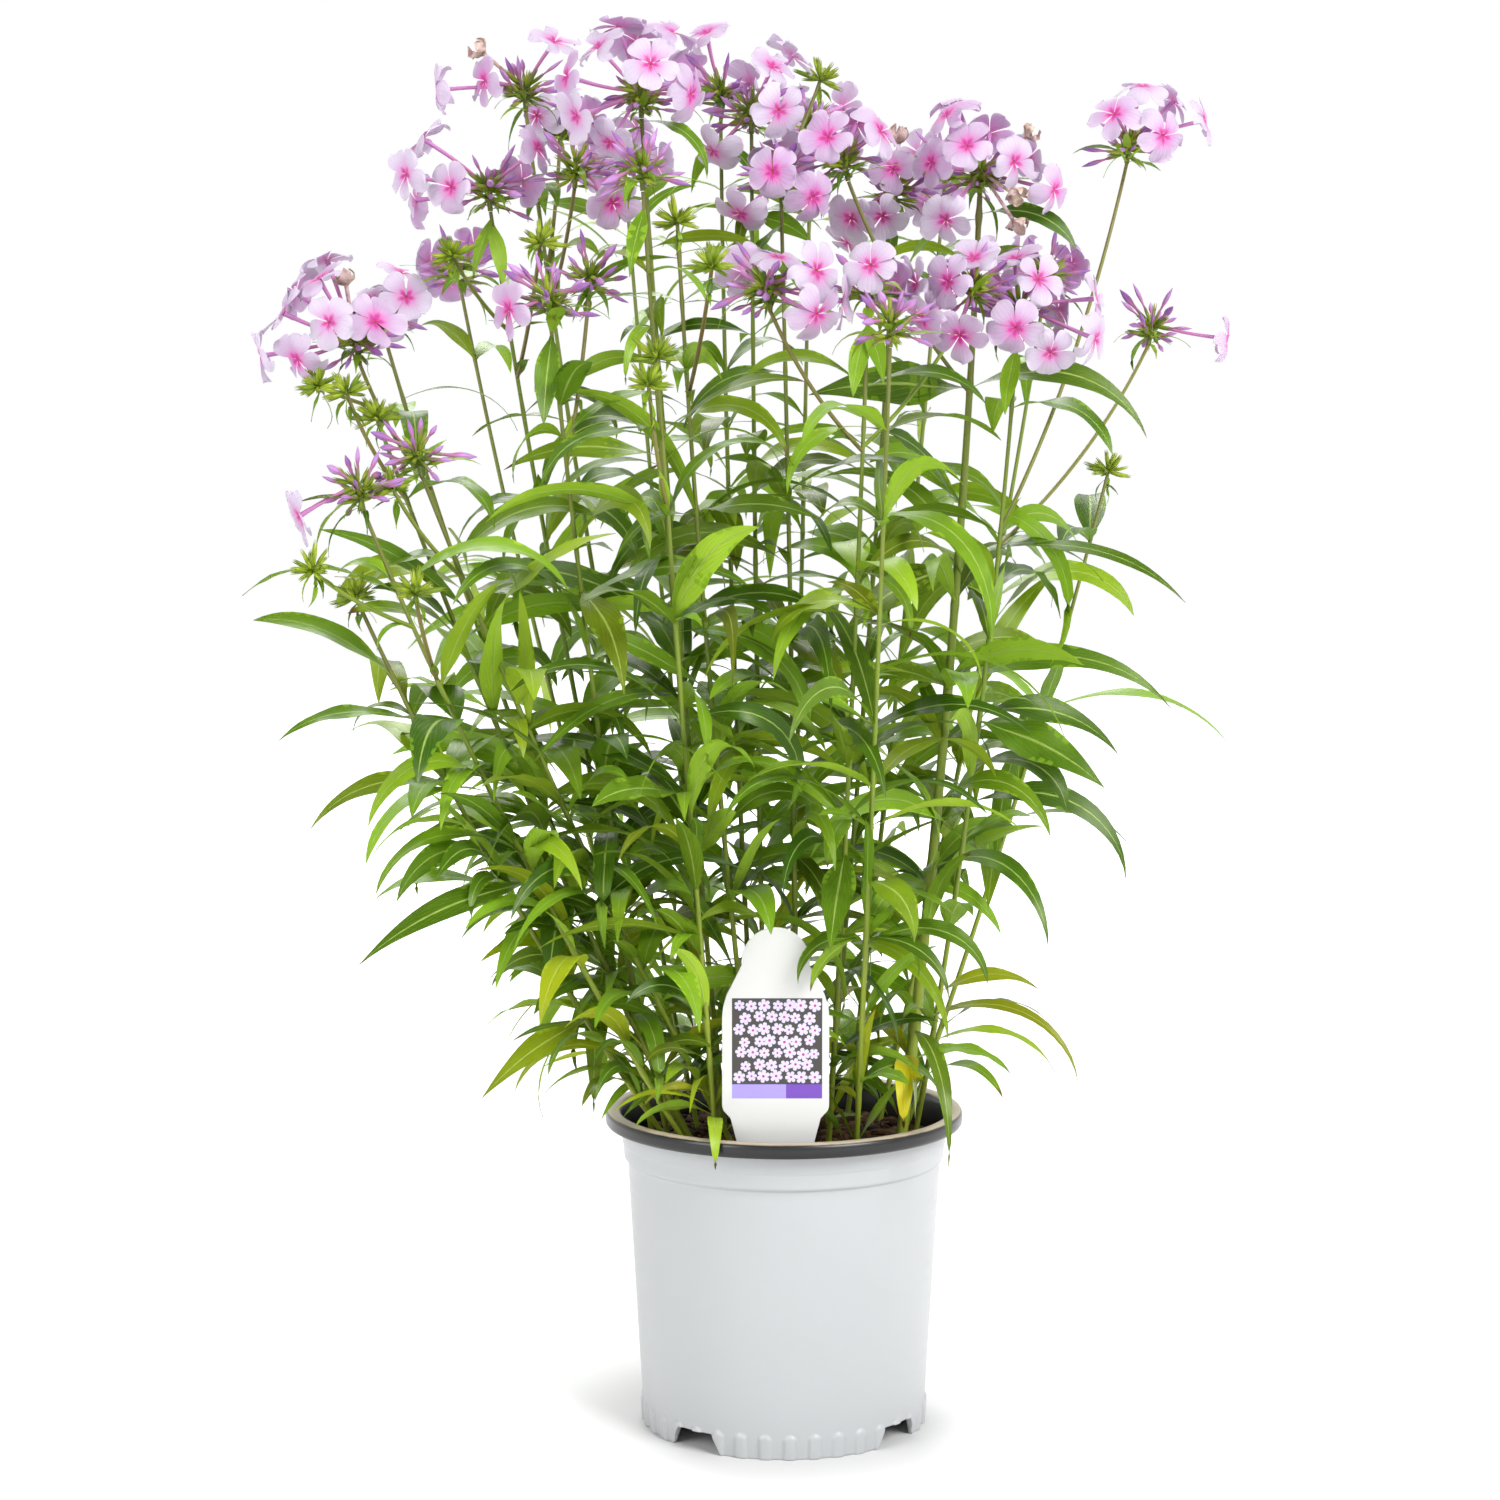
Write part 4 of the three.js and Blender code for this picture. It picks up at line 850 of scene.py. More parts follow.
def add_leaf(growth, leaf, rng, fine=True):
    """A thin folded blade with a waved edge, its upper and lower side meeting at the margin."""
    every = 1 if fine else 2
    points = leaf["points"][::every]
    _, across, normal = (part[::every] for part in leaf_frames(leaf["points"]))
    t = np.linspace(0, 1, len(points))
    if "roll" in leaf and leaf["length"] > FINE_LEAF:
        shape = np.sin(math.pi * t**0.72) ** 0.85
    else:
        shape = leaf_shape(t)
    width = np.maximum(leaf["width"] * np.nan_to_num(shape) * (1 - np.exp(-t / 0.12)), 1.3 * (1 - t) ** 8)
    width[-1] = 0.15
    columns = np.array((-1, -0.62, 0, 0.62, 1)) if fine else np.array((-1, 0, 1.0))
    facing = leaf.get("facing", FACING) * math.cos(math.radians(leaf["azimuth"]))
    twist = rng.uniform(-1, 1) * (TWIST_BROAD if leaf.get("facing", 0) > FACING else TWIST)
    roll = np.radians((leaf.get("roll", 0) + facing) * np.minimum(1, 2.5 * t) + twist * t)
    turned = across * np.cos(roll)[:, None] + normal * np.sin(roll)[:, None]
    out = normal * np.cos(roll)[:, None] - across * np.sin(roll)[:, None]
    wave = rng.uniform(0.02, 0.07) * np.sin(2 * math.pi * (rng.uniform(1.5, 3.5) * t + rng.random()))
    sag = rng.uniform(0.0, 0.06)
    sides = abs(columns)
    fold = LEAF["keel"] * (1 - sides**1.5)
    lift = fold[None] + np.outer(wave, sides**2 * np.sign(columns)) - sag * (sides**3)[None]
    sheet = (points[:, None] + turned[:, None] * (columns * 0.5)[None, :, None] * width[:, None, None]
             + out[:, None] * (lift * width[:, None])[..., None])
    thick = 0.14 * (1 - sides)[None, :, None] * out[:, None]
    old = float(np.clip((260 - leaf["root"][2]) / 200, 0, 1))
    yellow, brown = rng.random() ** 5 * (0.2 + 0.7 * old), float(rng.random() < 0.05 + 0.3 * old)
    yellow, brown = leaf.get("age", (yellow, brown))
    tint = (rng.random() * (0.5 if "facing" in leaf else 1), yellow, brown, 1)
    growth.grid(sheet + thick, "leaf_top", tint)
    growth.grid(sheet - thick, "leaf_under", tint, flip=True)


def add_small_leaf(growth, root, way, length, width, rng):
    """A bract or axil leaf that sets out along a direction."""
    leaf = {
        "root": root, "azimuth": math.degrees(math.atan2(way[1], way[0])),
        "rise": math.degrees(math.asin(np.clip(way[2], -1, 1))), "droop": rng.uniform(20, 120),
        "curl": rng.uniform(-15, 15), "length": length, "width": width,
    }
    leaf["points"] = midrib(leaf)
    add_leaf(growth, leaf, rng, fine=False)


def add_calyx(growth, root, way, start, length, radius, rng, blush=0.0, spread=1.0):
    """A calyx: a slim ribbed cup whose five teeth run out to fine points."""
    first, second = square(way)
    angles = rng.random() * 6.28 + np.arange(10) * math.pi / 5
    spin = around(first, second, angles)
    tooth = (np.arange(10) % 2 == 0).astype(float)
    rows = []
    for share, wide, split in ((0, 0.35, 0), (0.12, 0.8, 0), (0.36, 1.0, 0), (0.56, 0.96, 0),
                               (0.8, 0.85 + 0.3 * (spread - 1), 1), (1.0, 0.5 * spread, 1)):
        along = np.where(tooth > 0, share, min(share, 0.56)) if split else np.full(10, share)
        swell = 1 + 0.14 * (tooth - 0.5) if not split else np.where(tooth > 0, 1.0, 0.88)
        rows.append(root + way * (start + length * along)[:, None] + spin * (radius * wide * swell)[:, None])
    growth.grid(rows, "calyx", (rng.random(), blush, 0, 1), closed=True, flip=True)


def add_bud(growth, root, way, start, length, radius, rng):
    """A long bud: a green calyx, a pale tube and a furled, pointed tip."""
    first, second = square(way)
    bend = (first * rng.uniform(-1, 1) + second * rng.uniform(-1, 1)) * length * 0.07
    t = np.array((0.0, 0.2, 0.4, 0.5, 0.58, 0.68, 0.8, 0.9, 0.97, 1.0))
    wide = np.array((0.38, 0.38, 0.42, 0.55, 0.84, 1.0, 0.86, 0.5, 0.2, 0.03)) * radius
    line = root + way * (start + length * t)[:, None] + bend * (t**2)[:, None]
    growth.tube(line, wide, 7, "bud", (rng.random(), 0.5, 0, 1))
    add_calyx(growth, root, way, max(start - 1, 0.5), 0.46 * length, 0.85, rng, blush=rng.uniform(0.2, 0.9))


def add_flower(growth, core, throat, rng):
    """A flower: calyx, slender tube, and five broad petals round a small throat."""
    way = unit(throat - core)
    reach = np.linalg.norm(throat - core)
    first, second = square(way)
    bend = (first * rng.uniform(-1, 1) + second * rng.uniform(-1, 1)) * 0.9
    t = np.linspace(0, 1, 9)
    line = core + way * (2 + (reach - 2.4) * t)[:, None] + bend * (np.sin(math.pi * t))[:, None]
    radii = np.array((0.6, 0.64, 0.7, 0.76, 0.82, 0.86, 0.92, 1.0, 1.2))
    mood = rng.random()
    growth.tube(line, radii, 8, "flower_tube", (mood, 0.5, 0, 1))
    add_calyx(growth, core, way, 2.2, min(9.5, 0.5 * reach), 1.15, rng, blush=rng.uniform(0.4, 1))
    lean = np.tan(np.radians(rng.uniform(2, 15)))
    side = around(first, second, rng.random() * 6.28)
    face = unit(way + side * lean)
    first, second = square(face)
    ring = around(first, second, np.arange(10) * math.pi / 5)
    funnel = [throat + ring * wide - face * deep for wide, deep in ((0.95, 0.1), (0.5, 0.8), (0.03, 1.1))]
    growth.grid(funnel, "throat", (mood, 0.5, 0, 1), closed=True)
    reflex = rng.uniform(-2.5, 3.6)
    steps = 8
    s = np.sin(math.pi / 2 * np.arange(steps + 1) / steps) ** 0.9
    q = np.linspace(-1, 1, 7)
    size = FLOWER["radius"] * rng.uniform(0.93, 1.07)
    overlap = 1.1 * rng.choice((-1, 1))
    for petal in range(FLOWER["petals"]):
        angle = 2 * math.pi * (petal + 0.5) / FLOWER["petals"] + rng.uniform(-0.09, 0.09)
        out = first * math.cos(angle) + second * math.sin(angle)
        side = second * math.cos(angle) - first * math.sin(angle)
        long = size * rng.uniform(0.9, 1.05)
        half = 9.5 * rng.uniform(0.82, 1.08) * s * np.sqrt(np.maximum(1 - s**3.2, 0)) + 0.4 * (1 - s)
        notch = rng.uniform(0.0, 0.5)
        radial = 0.75 + (long - 0.75) * s[:, None] - notch * np.exp(-((q / 0.4) ** 2))[None] * (s**6)[:, None]
        fall = rng.uniform(-2.0, 3.6) + reflex
        height = (0.9 * np.sin(math.pi * s) - fall * s**2)[:, None] * np.ones(7)
        height = height + (overlap + rng.uniform(-1.1, 1.1)) * np.outer(s**1.2, q)
        height -= rng.uniform(-0.6, 1.5) * np.outer(s**2, q**2)
        height += 0.4 * np.outer(s**2, np.sin(3.4 * q + rng.uniform(0, 6)))
        sheet = (throat - face * 0.1 + out * radial[..., None] + side * (half[:, None] * q)[..., None]
                 + face * height[..., None])
        grow = np.stack(np.broadcast_arrays(q[None] * 0.5 + 0.5, s[:, None]), -1)
        skin = face * 0.07
        growth.grid(sheet + skin, "petal", (mood, rng.random(), 0, 1), uv=grow)
        growth.grid(sheet - skin, "petal", (mood, rng.random(), 1, 1), flip=True, uv=grow)


def add_withered(growth, core, end, rng):
    """A spent flower: a thin brown tube with its petals shrunk to a crumpled knot."""
    way = unit(end - core)
    reach = np.linalg.norm(end - core)
    t = np.linspace(0, 0.76, 7)
    first, second = square(way)
    bend = first * rng.uniform(-1.5, 1.5)
    line = core + way * (2 + reach * t)[:, None] + bend * (t**2)[:, None]
    growth.tube(line, np.linspace(0.7, 0.95, 7), 6, "withered", (rng.random(), 0.3, 0, 1))
    add_calyx(growth, core, way, 2, min(9, 0.5 * reach), 1.2, rng, blush=0.8)
    for petal in range(FLOWER["petals"]):
        angle = 2 * math.pi * (petal + rng.uniform(-0.2, 0.2)) / 5
        out = first * math.cos(angle) + second * math.sin(angle)
        side = second * math.cos(angle) - first * math.sin(angle)
        s = np.linspace(0, 1, 6)
        q = np.linspace(-1, 1, 5)
        hang = rng.uniform(-2.5, 3.0)
        radial = WITHERED_RADIUS * rng.uniform(0.7, 1.15) * np.sin(math.pi * s * 0.8)
        height = reach * 0.76 + 2 + (6 + hang) * s
        half = 2.6 * np.sin(math.pi * (0.12 + 0.8 * s))
        crumple = rng.uniform(-0.7, 0.7, (6, 5))
        sheet = (core + bend * 0.6 + out * (radial[:, None] + crumple)[..., None]
                 + side * (half[:, None] * q)[..., None]
                 + way * (height[:, None] + 0.6 * crumple[::-1])[..., None])
        tint = (rng.random(), rng.random(), 0, 1)
        growth.grid(sheet, "withered", tint)
        growth.grid(sheet + out * 0.05, "withered", tint, flip=True)


def add_cluster(growth, cluster, rng, extra):
    """A tuft of green calyces at the end of a stalk, over a few narrow bracts."""
    centre, axis = cluster["centre"], cluster["axis"]
    for way, length in cluster["spikes"]:
        stalk = centre + way * np.array((0, 2.0, 4.0))[:, None]
        growth.tube(stalk, (0.6, 0.5, 0.5), 5, "stem_skin", (rng.random(), 0.7, 0, 1))
        add_calyx(growth, centre, way, GREEN_BUD["start"], length, GREEN_BUD["radius"] * 0.7, rng, blush=0.06)
    draw = iter(rng.random(4))
    for way in dome(axis, extra, -0.3, draw):
        start = rng.uniform(0.5, 3)
        length = rng.uniform(6, 9.5)
        growth.tube(centre + way * np.array((0, start * 0.6, start + 1))[:, None], (0.6, 0.5, 0.5), 5,
                    "stem_skin", (rng.random(), 0.7, 0, 1))
        add_calyx(growth, centre, way, start, length, rng.uniform(0.75, 1.05), rng, blush=rng.random() * 0.15,
                  spread=rng.uniform(0.8, 1.6))
    for way in dome(-axis, 4, -0.1, iter(rng.random(4))):
        root = centre - axis * rng.uniform(1, 7)
        add_small_leaf(growth, root, way, rng.uniform(9, 15), rng.uniform(2, 3.2), rng)


def make_stem(row, settings, materials):
    """One leafy stem with its side stalks, green clusters and leaves."""
    name, *_rest, thick = row
    rng = draws(MESH_SEEDS["stems"] + int(name[5:]))
    growth = Growth(STEM_FINISHES)
    curve = PLANT.curves[name]
    start = curve.heading(0.0)
    foot = curve.start - start * STEM["foot"]
    t = np.linspace(0, 1, 97)
    line = np.vstack((foot, curve.start - start * 8, curve.at(t)))
    share = np.concatenate(((0, 0), t))
    radii = thick + (STEM["top_radius"] - thick) * share
    large = [leaf for leaf in PLANT.leaves[name] if leaf["length"] > SWELLING_LEAF]
    for height in {round(float(leaf["root"][2]), 1) for leaf in large}:
        radii = radii + settings.joint_swell * 1000 * np.exp(-(((line[:, 2] - height) / 2.6) ** 2))
    radii *= settings.slimness if thick < THICK_STEM else 1.0
    tint = stem_tint(share)
    tint[..., 2] = rng.uniform(0, 0.35) * np.clip(share, 0, 1)[:, None]
    growth.tube(line, radii, STEM_SIDES, "stem_skin", tint)
    for stalk in PLANT.stalks[name]:
        t = np.linspace(0, 1, 25)
        radii = STALK["foot_radius"] + (STALK["top_radius"] - STALK["foot_radius"]) * t
        line = stalk.at(t)
        high = (line[:, 2] - SOIL_EDGE) / 500
        tint = stem_tint(high)
        tint[..., 2] = rng.random()
        growth.tube(line, radii, STEM_SIDES, "stem_skin", tint)
        way = unit(line[3] - line[0]) + np.array((0, 0, 0.1))
        add_small_leaf(growth, line[0], way, rng.uniform(18, 30), rng.uniform(4, 6), rng)
    for cluster in PLANT.clusters[name]:
        add_cluster(growth, cluster, rng, settings.cluster_spikes)
    for leaf in PLANT.leaves[name]:
        add_leaf(growth, leaf, rng, fine=leaf["length"] > FINE_LEAF)
    stem = growth.make("leafy_" + name, materials)
    settle(stem, "stem", name)
    return stem


def stem_tint(share):
    """The tint of a stem's rings: how high on the plant each one stands."""
    tint = np.zeros((len(share), STEM_SIDES, 4))
    tint[..., 0] = 0.5
    tint[..., 1] = np.clip(share, 0, 1)[:, None]
    tint[..., 3] = 1
    return tint


def make_head(row, settings, materials):
    """One flower head: stub, branching core, flowers, buds, withered flowers and green calyces."""
    name = row[0]
    head = PLANT.heads[name]
    rng = draws(MESH_SEEDS["heads"] + int(name[5:]))
    growth = Growth(HEAD_FINISHES)
    base, core, axis = head["base"], head["core"], head["axis"]
    line = [base + head["arrival"] * 0.3, (base + core) / 2, core + axis * 1.5]
    growth.tube(line, (1.15, 1.2, 0.9), 8, "stem_skin", (0.5, 0.95, 0, 1))
    for throat in head["throats"]:
        add_flower(growth, core, throat, rng)
    for end in head["withered"]:
        add_withered(growth, core, end, rng)
    for way, length in head["buds"]:
        add_bud(growth, core, way, BUD["start"], length, BUD["radius"], rng)
    count = settings.extra_buds + len(head["throats"])
    for i, way in enumerate(dome(axis, count, -0.45, iter(rng.random(4)))):
        if any(tube.dot(way) > 0.955 for tube in head["tubes"]):
            continue
        root = core - axis * rng.uniform(0, 7)
        start = rng.uniform(1.5, 5)
        growth.tube(root + way * np.array((0, start * 0.5, start + 1))[:, None], (0.7, 0.6, 0.5), 5,
                    "stem_skin", (rng.random(), 0.9, 0, 1))
        if i % 2 == 0:
            add_bud(growth, root, way, start, rng.uniform(10, 21), rng.uniform(0.85, 1.3), rng)
        else:
            add_calyx(growth, root, way, start, rng.uniform(6.5, 9.5), rng.uniform(0.8, 1.05), rng,
                      blush=rng.uniform(0, 0.7), spread=rng.uniform(0.8, 2.2))
    for way in dome(-axis, 8, 0.0, iter(rng.random(4))):
        flat = unit(way + axis * 0.9)
        root = base + axis * rng.uniform(0, 7)
        add_small_leaf(growth, root, flat, rng.uniform(10, 32), rng.uniform(2.2, 5.2), rng)
    piece = growth.make("flower_" + name, materials)
    settle(piece, "head", name)
    return piece


# ---------------------------------------------------------------- materials


def colour(code):
    """A linear colour from a six-digit code."""
    parts = [int(code[i:i + 2], 16) / 255 for i in (0, 2, 4)]
    return (*(p / 12.92 if p <= 0.04045 else ((p + 0.055) / 1.055) ** 2.4 for p in parts), 1.0)


def darkened(tone, share):
    return (*(part * share for part in tone[:3]), 1.0)


class Recipe:
    """A material's nodes, with short ways to add and join them."""

    def __init__(self, name):
        self.material = bpy.data.materials.new(name)
        self.material.use_nodes = True
        self.tree = self.material.node_tree
        self.shader = self.tree.nodes["Principled BSDF"]
        self.output = self.tree.nodes["Material Output"]

    def join(self, value, socket):
        if isinstance(value, bpy.types.NodeSocket):
            self.tree.links.new(value, socket)
        elif value is not None:
            socket.default_value = value

    def node(self, kind, *values, **settings):
        made = self.tree.nodes.new(kind)
        for key, value in settings.items():
            setattr(made, key, value)
        for value, socket in zip(values, made.inputs):
            self.join(value, socket)
        return made

    def math(self, operation, first, second=None):
        return self.node("ShaderNodeMath", first, second, operation=operation).outputs[0]

    def plus(self, first, second):
        return self.math("ADD", first, second)

    def minus(self, first, second):
        return self.math("SUBTRACT", first, second)

    def times(self, first, second):
        return self.math("MULTIPLY", first, second)

    def step(self, value, low, high):
        """0 below low and 1 above high, with a soft way between."""
        made = self.node("ShaderNodeMapRange", value, low, high, interpolation_type="SMOOTHSTEP")
        return made.outputs[0]

    def mix(self, share, first, second):
        made = self.tree.nodes.new("ShaderNodeMix")
        made.data_type = "RGBA"
        for value, index in ((share, 0), (first, 6), (second, 7)):
            self.join(value, made.inputs[index])
        return made.outputs[2]

    def grain(self, scale, detail=3.0, roughness=0.5, stretch=None):
        """Cloudy noise in the object's own space, in features per metre."""
        place = self.node("ShaderNodeTexCoord").outputs["Object"]
        if stretch:
            mapping = self.node("ShaderNodeMapping", place)
            mapping.inputs["Scale"].default_value = stretch
            place = mapping.outputs[0]
        made = self.node("ShaderNodeTexNoise", place)
        made.inputs["Scale"].default_value = scale
        made.inputs["Detail"].default_value = detail
        made.inputs["Roughness"].default_value = roughness
        return made.outputs["Fac"]

    def pair(self, uv_map):
        """The two numbers that a mesh carries: Organ, Growth or Marks."""
        made = self.node("ShaderNodeUVMap", uv_map=uv_map)
        return tuple(self.node("ShaderNodeSeparateXYZ", made.outputs[0]).outputs)[:2]

    def organ(self):
        """Where on the leaf or petal: across it from 0 to 1, and along it from 0 to 1."""
        return self.pair("Organ")

    def growth(self):
        """What each organ was given: its own shade, and its age, height or blush."""
        return self.pair("Growth")

    def mark(self):
        """A third number of each organ: a scorched leaf, or a petal's back."""
        return self.pair("Marks")[0]

    def bump(self, height, strength, depth):
        made = self.node("ShaderNodeBump")
        made.inputs["Strength"].default_value = strength
        made.inputs["Distance"].default_value = depth
        self.join(height, made.inputs["Height"])
        self.join(made.outputs[0], self.shader.inputs["Normal"])
        return made.outputs[0]

    def finish(self, base, roughness, specular=0.5, through=None, share=0.3, normal=None):
        self.join(base, self.shader.inputs["Base Color"])
        self.join(roughness, self.shader.inputs["Roughness"])
        self.shader.inputs["Specular IOR Level"].default_value = specular
        if through is not None:
            light = self.node("ShaderNodeBsdfTranslucent", through)
            self.join(normal, light.inputs["Normal"])
            both = self.node("ShaderNodeMixShader", share, self.shader.outputs[0], light.outputs[0])
            self.join(both.outputs[0], self.output.inputs["Surface"])
        return self.material


def leaf_material(name, settings, upper):
    """Leaf skin with a pale midrib, arched side veins, mottling, and yellowed or browned old leaves."""
    recipe = Recipe(name)
    across, along = recipe.organ()
    shade, age = recipe.growth()
    off = recipe.math("ABSOLUTE", recipe.minus(across, 0.5))
    rib = recipe.step(off, 0.045, 0.012)
    slant = recipe.minus(recipe.times(along, 8.0), recipe.times(off, 9.0))
    vein = recipe.math("ABSOLUTE", recipe.minus(recipe.math("FRACT", slant), 0.5))
    vein = recipe.step(vein, 0.1, 0.02)
    if upper:
        dark, light = settings.leaf_dark, settings.leaf_light
    else:
        dark, light = settings.under_dark, settings.under_light
    mottle = recipe.grain(70.0, 4.0)
    fine = recipe.grain(520.0, 3.0)
    blend = recipe.plus(recipe.times(shade, 0.85), recipe.times(mottle, 0.4))
    base = recipe.mix(recipe.step(blend, 0.2, 1.1), dark, light)
    base = recipe.mix(recipe.times(vein, 0.22), base, settings.vein)
    line = recipe.step(recipe.math("SINE", recipe.times(off, 75.0)), 0.2, 1.0)
    base = recipe.mix(recipe.times(line, 0.14), base, dark)
    base = recipe.mix(recipe.times(rib, 0.8), base, settings.vein)
    base = recipe.mix(recipe.times(age, 0.9), base, settings.yellow)
    tip = recipe.plus(along, recipe.times(mottle, 0.12))
    scorch = recipe.times(recipe.step(tip, 0.95, 1.03), recipe.mark())
    base = recipe.mix(scorch, base, colour("6B4423"))
    rough = recipe.plus(recipe.times(fine, 0.25), 0.27 if upper else 0.45)
    relief = recipe.plus(recipe.times(vein, -0.6), recipe.times(rib, -1.0))
    relief = recipe.plus(relief, recipe.times(fine, 0.5))
    if not upper:
        relief = recipe.times(relief, -1.0)
    normal = recipe.bump(relief, 0.7, 0.0005)
    glow = recipe.mix(0.5, base, settings.leaf_glow)
    recipe.shader.inputs["Specular Tint"].default_value = colour("E0EA9C")
    recipe.shader.inputs["Coat Weight"].default_value = 0.4 if upper else 0.1
    recipe.shader.inputs["Coat Roughness"].default_value = 0.3
    return recipe.finish(base, rough, 0.4 if upper else 0.25, through=glow, share=0.36, normal=normal)


def stem_material(settings):
    """Stem skin: yellow-green low down, olive and reddish near the flowers, with fine lines along it."""
    recipe = Recipe("stem_skin")
    height = recipe.growth()[1]
    streak = recipe.grain(260.0, 3.0, stretch=(1.0, 1.0, 0.12))
    place = recipe.plus(height, recipe.times(recipe.minus(streak, 0.5), 0.35))
    base = recipe.mix(recipe.step(place, 0.1, 0.55), settings.stem_low, settings.stem_middle)
    base = recipe.mix(recipe.step(place, 0.62, 1.1), base, settings.stem_high)
    base = recipe.mix(recipe.times(recipe.mark(), 0.75), base, colour("6A4634"))
    base = recipe.mix(recipe.times(recipe.step(streak, 0.62, 0.8), 0.35), base, colour("5A3B24"))
    recipe.bump(streak, 0.35, 0.0003)
    return recipe.finish(base, recipe.plus(recipe.times(streak, 0.3), 0.33), 0.4)


def calyx_material(settings):
    """Calyx: green at its foot, flushed purple on its teeth where the flower is open."""
    recipe = Recipe("calyx_green")
    along = recipe.organ()[1]
    shade, blush = recipe.growth()
    grain = recipe.grain(700.0, 3.0)
    base = recipe.mix(shade, settings.calyx_dark, settings.calyx_light)
    flush = recipe.times(recipe.step(along, 0.25, 0.95), blush)
    base = recipe.mix(recipe.times(flush, 0.75), base, settings.calyx_blush)
    recipe.bump(grain, 0.4, 0.0003)
    glow = recipe.mix(0.4, base, settings.calyx_light)
    return recipe.finish(base, recipe.plus(recipe.times(grain, 0.3), 0.38), 0.35, glow, 0.2)


def petal_material(settings):
    """Petal: pale lilac with a magenta star round the throat, drawn out along the veins."""
    recipe = Recipe("petal_lilac")
    across, along = recipe.organ()
    mood, own = recipe.growth()
    back = recipe.mark()
    off = recipe.math("ABSOLUTE", recipe.minus(across, 0.5))
    streak = recipe.math("SINE", recipe.times(recipe.minus(across, 0.5), 34.0))
    vein = recipe.step(streak, 0.1, 1.0)
    cloud = recipe.grain(210.0, 4.0)
    fine = recipe.grain(1600.0, 2.0)
    tone = recipe.plus(recipe.times(mood, 0.6), recipe.times(own, 0.2))
    tone = recipe.plus(tone, recipe.times(cloud, 0.35))
    tone = recipe.plus(tone, recipe.times(back, 0.2))
    base = recipe.mix(recipe.step(tone, 0.38, 1.3), settings.petal_pale, settings.petal_deep)
    base = recipe.mix(recipe.times(recipe.step(along, 0.8, 0.2), 0.4), base, settings.petal_deep)
    rim = recipe.times(recipe.step(recipe.plus(along, off), 0.85, 1.3), 0.6)
    base = recipe.mix(rim, base, settings.petal_pale)
    reach = recipe.minus(along, recipe.times(vein, 0.06))
    reach = recipe.plus(reach, recipe.times(recipe.minus(cloud, 0.5), 0.14))
    front = recipe.minus(1.0, recipe.times(back, 0.75))
    glow = recipe.times(recipe.step(reach, 0.54, 0.08), recipe.plus(recipe.times(mood, 0.4), 0.35))
    base = recipe.mix(recipe.times(glow, front), base, settings.eye)
    point = recipe.plus(reach, recipe.times(off, 0.42))
    star = recipe.times(recipe.step(point, 0.36, 0.14), 0.85)
    base = recipe.mix(recipe.times(star, front), base, settings.eye_deep)
    base = recipe.mix(recipe.times(vein, 0.05), base, settings.eye)
    relief = recipe.plus(recipe.times(vein, -0.5), recipe.times(fine, 0.3))
    normal = recipe.bump(relief, 0.35, 0.0003)
    recipe.shader.inputs["Sheen Weight"].default_value = 0.15
    rough = recipe.plus(recipe.times(fine, 0.2), 0.45)
    return recipe.finish(base, rough, 0.3, through=base, share=0.46, normal=normal)


def tube_material(settings):
    recipe = Recipe("flower_tube_pink")
    along = recipe.organ()[1]
    cloud = recipe.grain(400.0, 3.0)
    base = recipe.mix(recipe.step(along, 0.2, 1.0), settings.tube, settings.petal_deep)
    base = recipe.mix(recipe.times(cloud, 0.3), base, settings.eye)
    recipe.bump(cloud, 0.2, 0.0002)
    return recipe.finish(base, recipe.plus(recipe.times(cloud, 0.2), 0.4), 0.3, base, 0.25)


def throat_material(settings):
    recipe = Recipe("throat_dark")
    along = recipe.organ()[1]
    cloud = recipe.grain(1500.0, 2.0)
    base = recipe.mix(recipe.step(along, 0.0, 0.7), settings.eye_deep, settings.throat)
    base = recipe.mix(recipe.times(cloud, 0.3), base, colour("C8822A"))
    return recipe.finish(base, recipe.plus(recipe.times(cloud, 0.2), 0.5), 0.3)


def bud_material(settings):
    """Bud: pink tube, furled violet tip with darker seams."""
    recipe = Recipe("bud_violet")
    across, along = recipe.organ()
    shade = recipe.growth()[0]
    cloud = recipe.grain(500.0, 3.0)
    twist = recipe.plus(recipe.times(across, 5.0), recipe.times(along, 1.4))
    seam = recipe.math("ABSOLUTE", recipe.minus(recipe.math("FRACT", twist), 0.5))
    seam = recipe.step(seam, 0.16, 0.02)
    tip = recipe.mix(shade, settings.bud_pale, settings.bud_deep)
    base = recipe.mix(recipe.step(along, 0.4, 0.62), settings.tube, tip)
    base = recipe.mix(recipe.times(seam, 0.45), base, settings.bud_deep)
    base = recipe.mix(recipe.times(recipe.step(along, 0.9, 1.0), 0.5), base, colour("7A5A86"))
    recipe.bump(recipe.plus(recipe.times(seam, -1.0), recipe.times(cloud, 0.3)), 0.5, 0.0003)
    return recipe.finish(base, recipe.plus(recipe.times(cloud, 0.2), 0.42), 0.3, base, 0.2)


def withered_material(settings):
    recipe = Recipe("withered_beige")
    shade = recipe.growth()[0]
    cloud = recipe.grain(330.0, 5.0, 0.65)
    base = recipe.mix(recipe.step(cloud, 0.35, 0.7), settings.withered, colour("A88A70"))
    base = recipe.mix(recipe.times(shade, 0.3), base, settings.petal_deep)
    recipe.bump(cloud, 0.8, 0.0006)
    return recipe.finish(base, recipe.plus(recipe.times(cloud, 0.3), 0.55), 0.2, base, 0.25)


